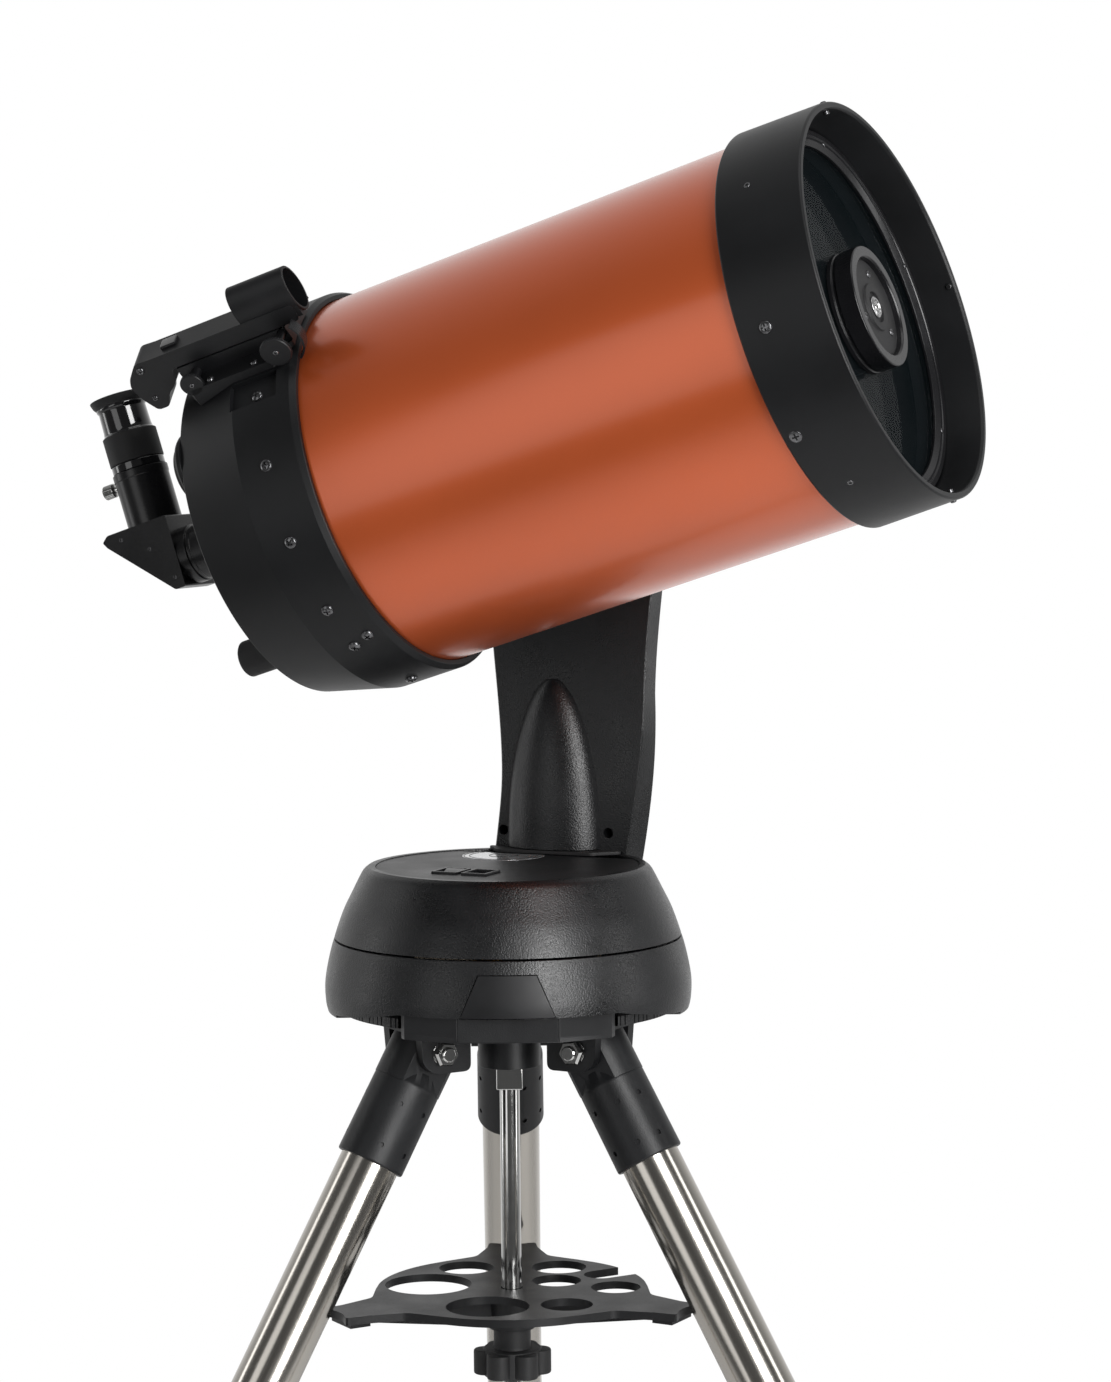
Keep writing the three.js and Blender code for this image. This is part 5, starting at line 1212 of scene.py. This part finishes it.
def tray():
    top, under, hub_low = TRAY_Z, TRAY_Z - TRAY_THICKNESS, TRAY_Z - 26
    deck = prism("z", softened(tray_outline(), 4, closed=True), under, top)
    rib_end = TRAY_TIP_R - 14
    rib = slab([(11, hub_low + 2), (rib_end, under - 2), (rib_end, under + 0.5), (11, under + 0.5)],
               -1.5, 1.5)
    hub = turned("z", [(0, hub_low), (15, hub_low), (17, under + 1), (0, under + 1)])
    # The tips are thicker, where the tray bears on the legs.
    lip = block((TRAY_TIP_R - 20, -13, under - 3), (TRAY_TIP_R - 6, 13, under + 1))
    solids = [hub]
    for azimuth in LEG_AZIMUTHS:
        solids += [spun(solid, "Z", azimuth) for solid in (rib, lip)]
    holes = [bar("z", r, hub_low - 4, top + 5, (*at, 0), sides=72, soft=0) for at, r in TRAY_HOLES]
    holes.append(bar("z", 7.2, hub_low - 4, top + 5, soft=0))
    holes += [spun(solid, "Z", NOTCH_AZIMUTH) for solid in (
        bar("z", NOTCH_R, hub_low, top + 1, (TRAY_NOTCH, 0, 0), sides=72, soft=0),
        block((TRAY_NOTCH, -NOTCH_R, hub_low), (TRAY_R + 8, NOTCH_R, top + 1)))]
    piece("spreader_tray", GROUND, "tray", "plastic", deck, *solids, join=True, cuts=holes, bevel=0.7,
          replaces=["accessory_tray"])


def rod_and_knob():
    rod = [(0, ROD_END), (ROD_R - 0.8, ROD_END), (ROD_R, ROD_END + 1), (ROD_R, 596), (ROD_R, 636), (0, 636)]
    piece("rod", GROUND, "tripod", "chrome", turned("z", rod, sides=96), replaces=["centre_rod"])
    coupling = block((-8.4, -8.4, 597), (8.4, 8.4, 611))
    piece("rod_coupling", GROUND, "tripod", "chrome", coupling, bevel=0.8)
    collar = turned("z", [(7, 611.4), (17, 611.4), (18.5, 614), (18.5, 621), (7, 621)], sides=96,
                    closed=True)
    piece("rod_collar", GROUND, "tripod", "plastic", collar, bevel=0.4)
    lobes = [bar("z", 8, 411, 427, (*polar(17, 60 * i), 0), sides=40, soft=1.5) for i in range(6)]
    core = bar("z", 19, 410, 428, sides=96, soft=1.5)
    neck = turned("z", [(0, 423), (13, 423), (12, 430), (12, TRAY_Z - 26.4), (0, TRAY_Z - 26.4)], sides=96)
    piece("tray_grip", GROUND, "tray_knob", "rubber", core, neck, *lobes, join=True,
          cuts=[bar("z", ROD_R + GAP, 400, 450)], bevel=0.8, replaces=["tray_knob"])
    washer = pipe("z", 13.5, 7, TRAY_Z - 26.3, TRAY_Z - 25.9, sides=96)
    piece("tray_washer", GROUND, "tray", "steel", washer)


# ---- stage ----------------------------------------------------------------------------------
def camera():
    data = bpy.data.cameras.new("camera")
    data.lens, data.sensor_width, data.sensor_fit = CAMERA_LENS, SENSOR, "HORIZONTAL"
    obj = bpy.data.objects.new("camera", data)
    heading, pitch, roll = (math.radians(a) for a in (CAMERA_HEADING, CAMERA_PITCH, CAMERA_ROLL))
    ahead = Vector((math.sin(heading) * math.cos(pitch), math.cos(heading) * math.cos(pitch),
                    math.sin(pitch)))
    level = ahead.cross(UP).normalized()
    upright = level.cross(ahead)
    right = math.cos(roll) * level + math.sin(roll) * upright
    up = right.cross(ahead)
    obj.matrix_world = placed(ground + Vector(CAMERA_FROM_AXIS) * MM, right, up, -ahead)
    bpy.context.scene.collection.objects.link(obj)
    bpy.context.scene.camera = obj


def softbox(name, at, target, size, power):
    data = bpy.data.lights.new(name, "AREA")
    data.shape, data.size, data.size_y = "RECTANGLE", *size
    data.energy = power
    obj = bpy.data.objects.new(name, data)
    direction = Vector(target) - Vector(at)
    obj.matrix_world = Matrix.Translation(at) @ direction.to_track_quat("-Z", "Y").to_matrix().to_4x4()
    bpy.context.scene.collection.objects.link(obj)


def backdrop():
    """A white surround for the camera, and a softer one, brighter behind the object, for reflections."""
    world = bpy.data.worlds.new("studio")
    bpy.context.scene.world = world
    world.use_nodes = True
    nodes, links = world.node_tree.nodes, world.node_tree.links
    nodes.clear()
    where = nodes.new("ShaderNodeTexCoord")
    split = nodes.new("ShaderNodeSeparateXYZ")
    links.new(where.outputs["Generated"], split.inputs["Vector"])
    ramp = nodes.new("ShaderNodeValToRGB")
    stops = ((0.0, 0.1), (0.42, 0.12), (0.62, 0.4), (1.0, 1.0))
    while len(ramp.color_ramp.elements) < len(stops):
        ramp.color_ramp.elements.new(0.5)
    for element, (place, grey) in zip(ramp.color_ramp.elements, stops):
        element.position, element.color = place, (grey, grey, grey, 1)
    half = nodes.new("ShaderNodeMapRange")
    half.inputs["From Min"].default_value = -1
    links.new(split.outputs["Y"], half.inputs["Value"])
    links.new(half.outputs["Result"], ramp.inputs["Fac"])
    around, white = nodes.new("ShaderNodeBackground"), nodes.new("ShaderNodeBackground")
    links.new(ramp.outputs["Color"], around.inputs["Color"])
    around.inputs["Strength"].default_value = 0.9
    white.inputs["Color"].default_value = (1, 1, 1, 1)
    path, mix = nodes.new("ShaderNodeLightPath"), nodes.new("ShaderNodeMixShader")
    links.new(path.outputs["Is Camera Ray"], mix.inputs[0])
    links.new(around.outputs["Background"], mix.inputs[1])
    links.new(white.outputs["Background"], mix.inputs[2])
    out = nodes.new("ShaderNodeOutputWorld")
    links.new(mix.outputs["Shader"], out.inputs["Surface"])


def floor():
    """A pale round floor that fades out at its edge."""
    obj = object_from("floor", [turned("z", [(0, -2), (1500, -2), (1500, -1), (0, -1)], sides=128, soft=0)])
    made = bpy.data.materials.new("pale_floor")
    made.use_nodes = True
    nodes, links = made.node_tree.nodes, made.node_tree.links
    shader = nodes["Principled BSDF"]
    shader.inputs["Base Color"].default_value = (0.9, 0.9, 0.9, 1)
    shader.inputs["Roughness"].default_value = 0.7
    where, length = nodes.new("ShaderNodeTexCoord"), nodes.new("ShaderNodeVectorMath")
    fade = nodes.new("ShaderNodeMapRange")
    length.operation = "LENGTH"
    links.new(where.outputs["Object"], length.inputs[0])
    links.new(length.outputs["Value"], fade.inputs["Value"])
    fade.inputs["From Min"].default_value, fade.inputs["From Max"].default_value = 0.5, 1.4
    fade.inputs["To Min"].default_value, fade.inputs["To Max"].default_value = 1, 0
    fade.interpolation_type = "SMOOTHSTEP"
    links.new(fade.outputs["Result"], shader.inputs["Alpha"])
    obj.data.materials.append(made)
    obj.matrix_world = GROUND


def lights():
    """A tall soft key to the right of the camera, a dim fill to its left and weak edge lights."""
    aim = ground + Vector((0, 0, 0.9))
    softbox("key", ground + Vector((1.15, -2.2, 1.35)), aim, (1.0, 2.3), 80)
    softbox("fill", ground + Vector((-1.7, -1.9, 1.0)), aim, (1.1, 2.0), 8)
    softbox("top", ground + Vector((0.2, -0.5, 2.8)), aim, (1.6, 0.8), 7)
    softbox("right", ground + Vector((2.1, -0.4, 1.0)), aim, (0.4, 1.8), 8)
    softbox("left", ground + Vector((-2.1, 0.3, 1.0)), aim, (0.4, 1.8), 5)
    bpy.context.scene.view_settings.view_transform = "Standard"


# ---- assembly ---------------------------------------------------------------------------------
camera()
backdrop()
floor()
lights()
for make in (optical_tube, front_cell, corrector, secondary, rear_cell, back_cap, inner_optics,
             focus_knob, visual_back, star_diagonal, eyepiece, finder, dovetail, saddle, drives,
             lower_base, upper_base, arm, tripod_head, tray, rod_and_knob):
    make()
for leg_number in (1, 2, 3):
    leg(leg_number)

bpy.context.view_layer.update()
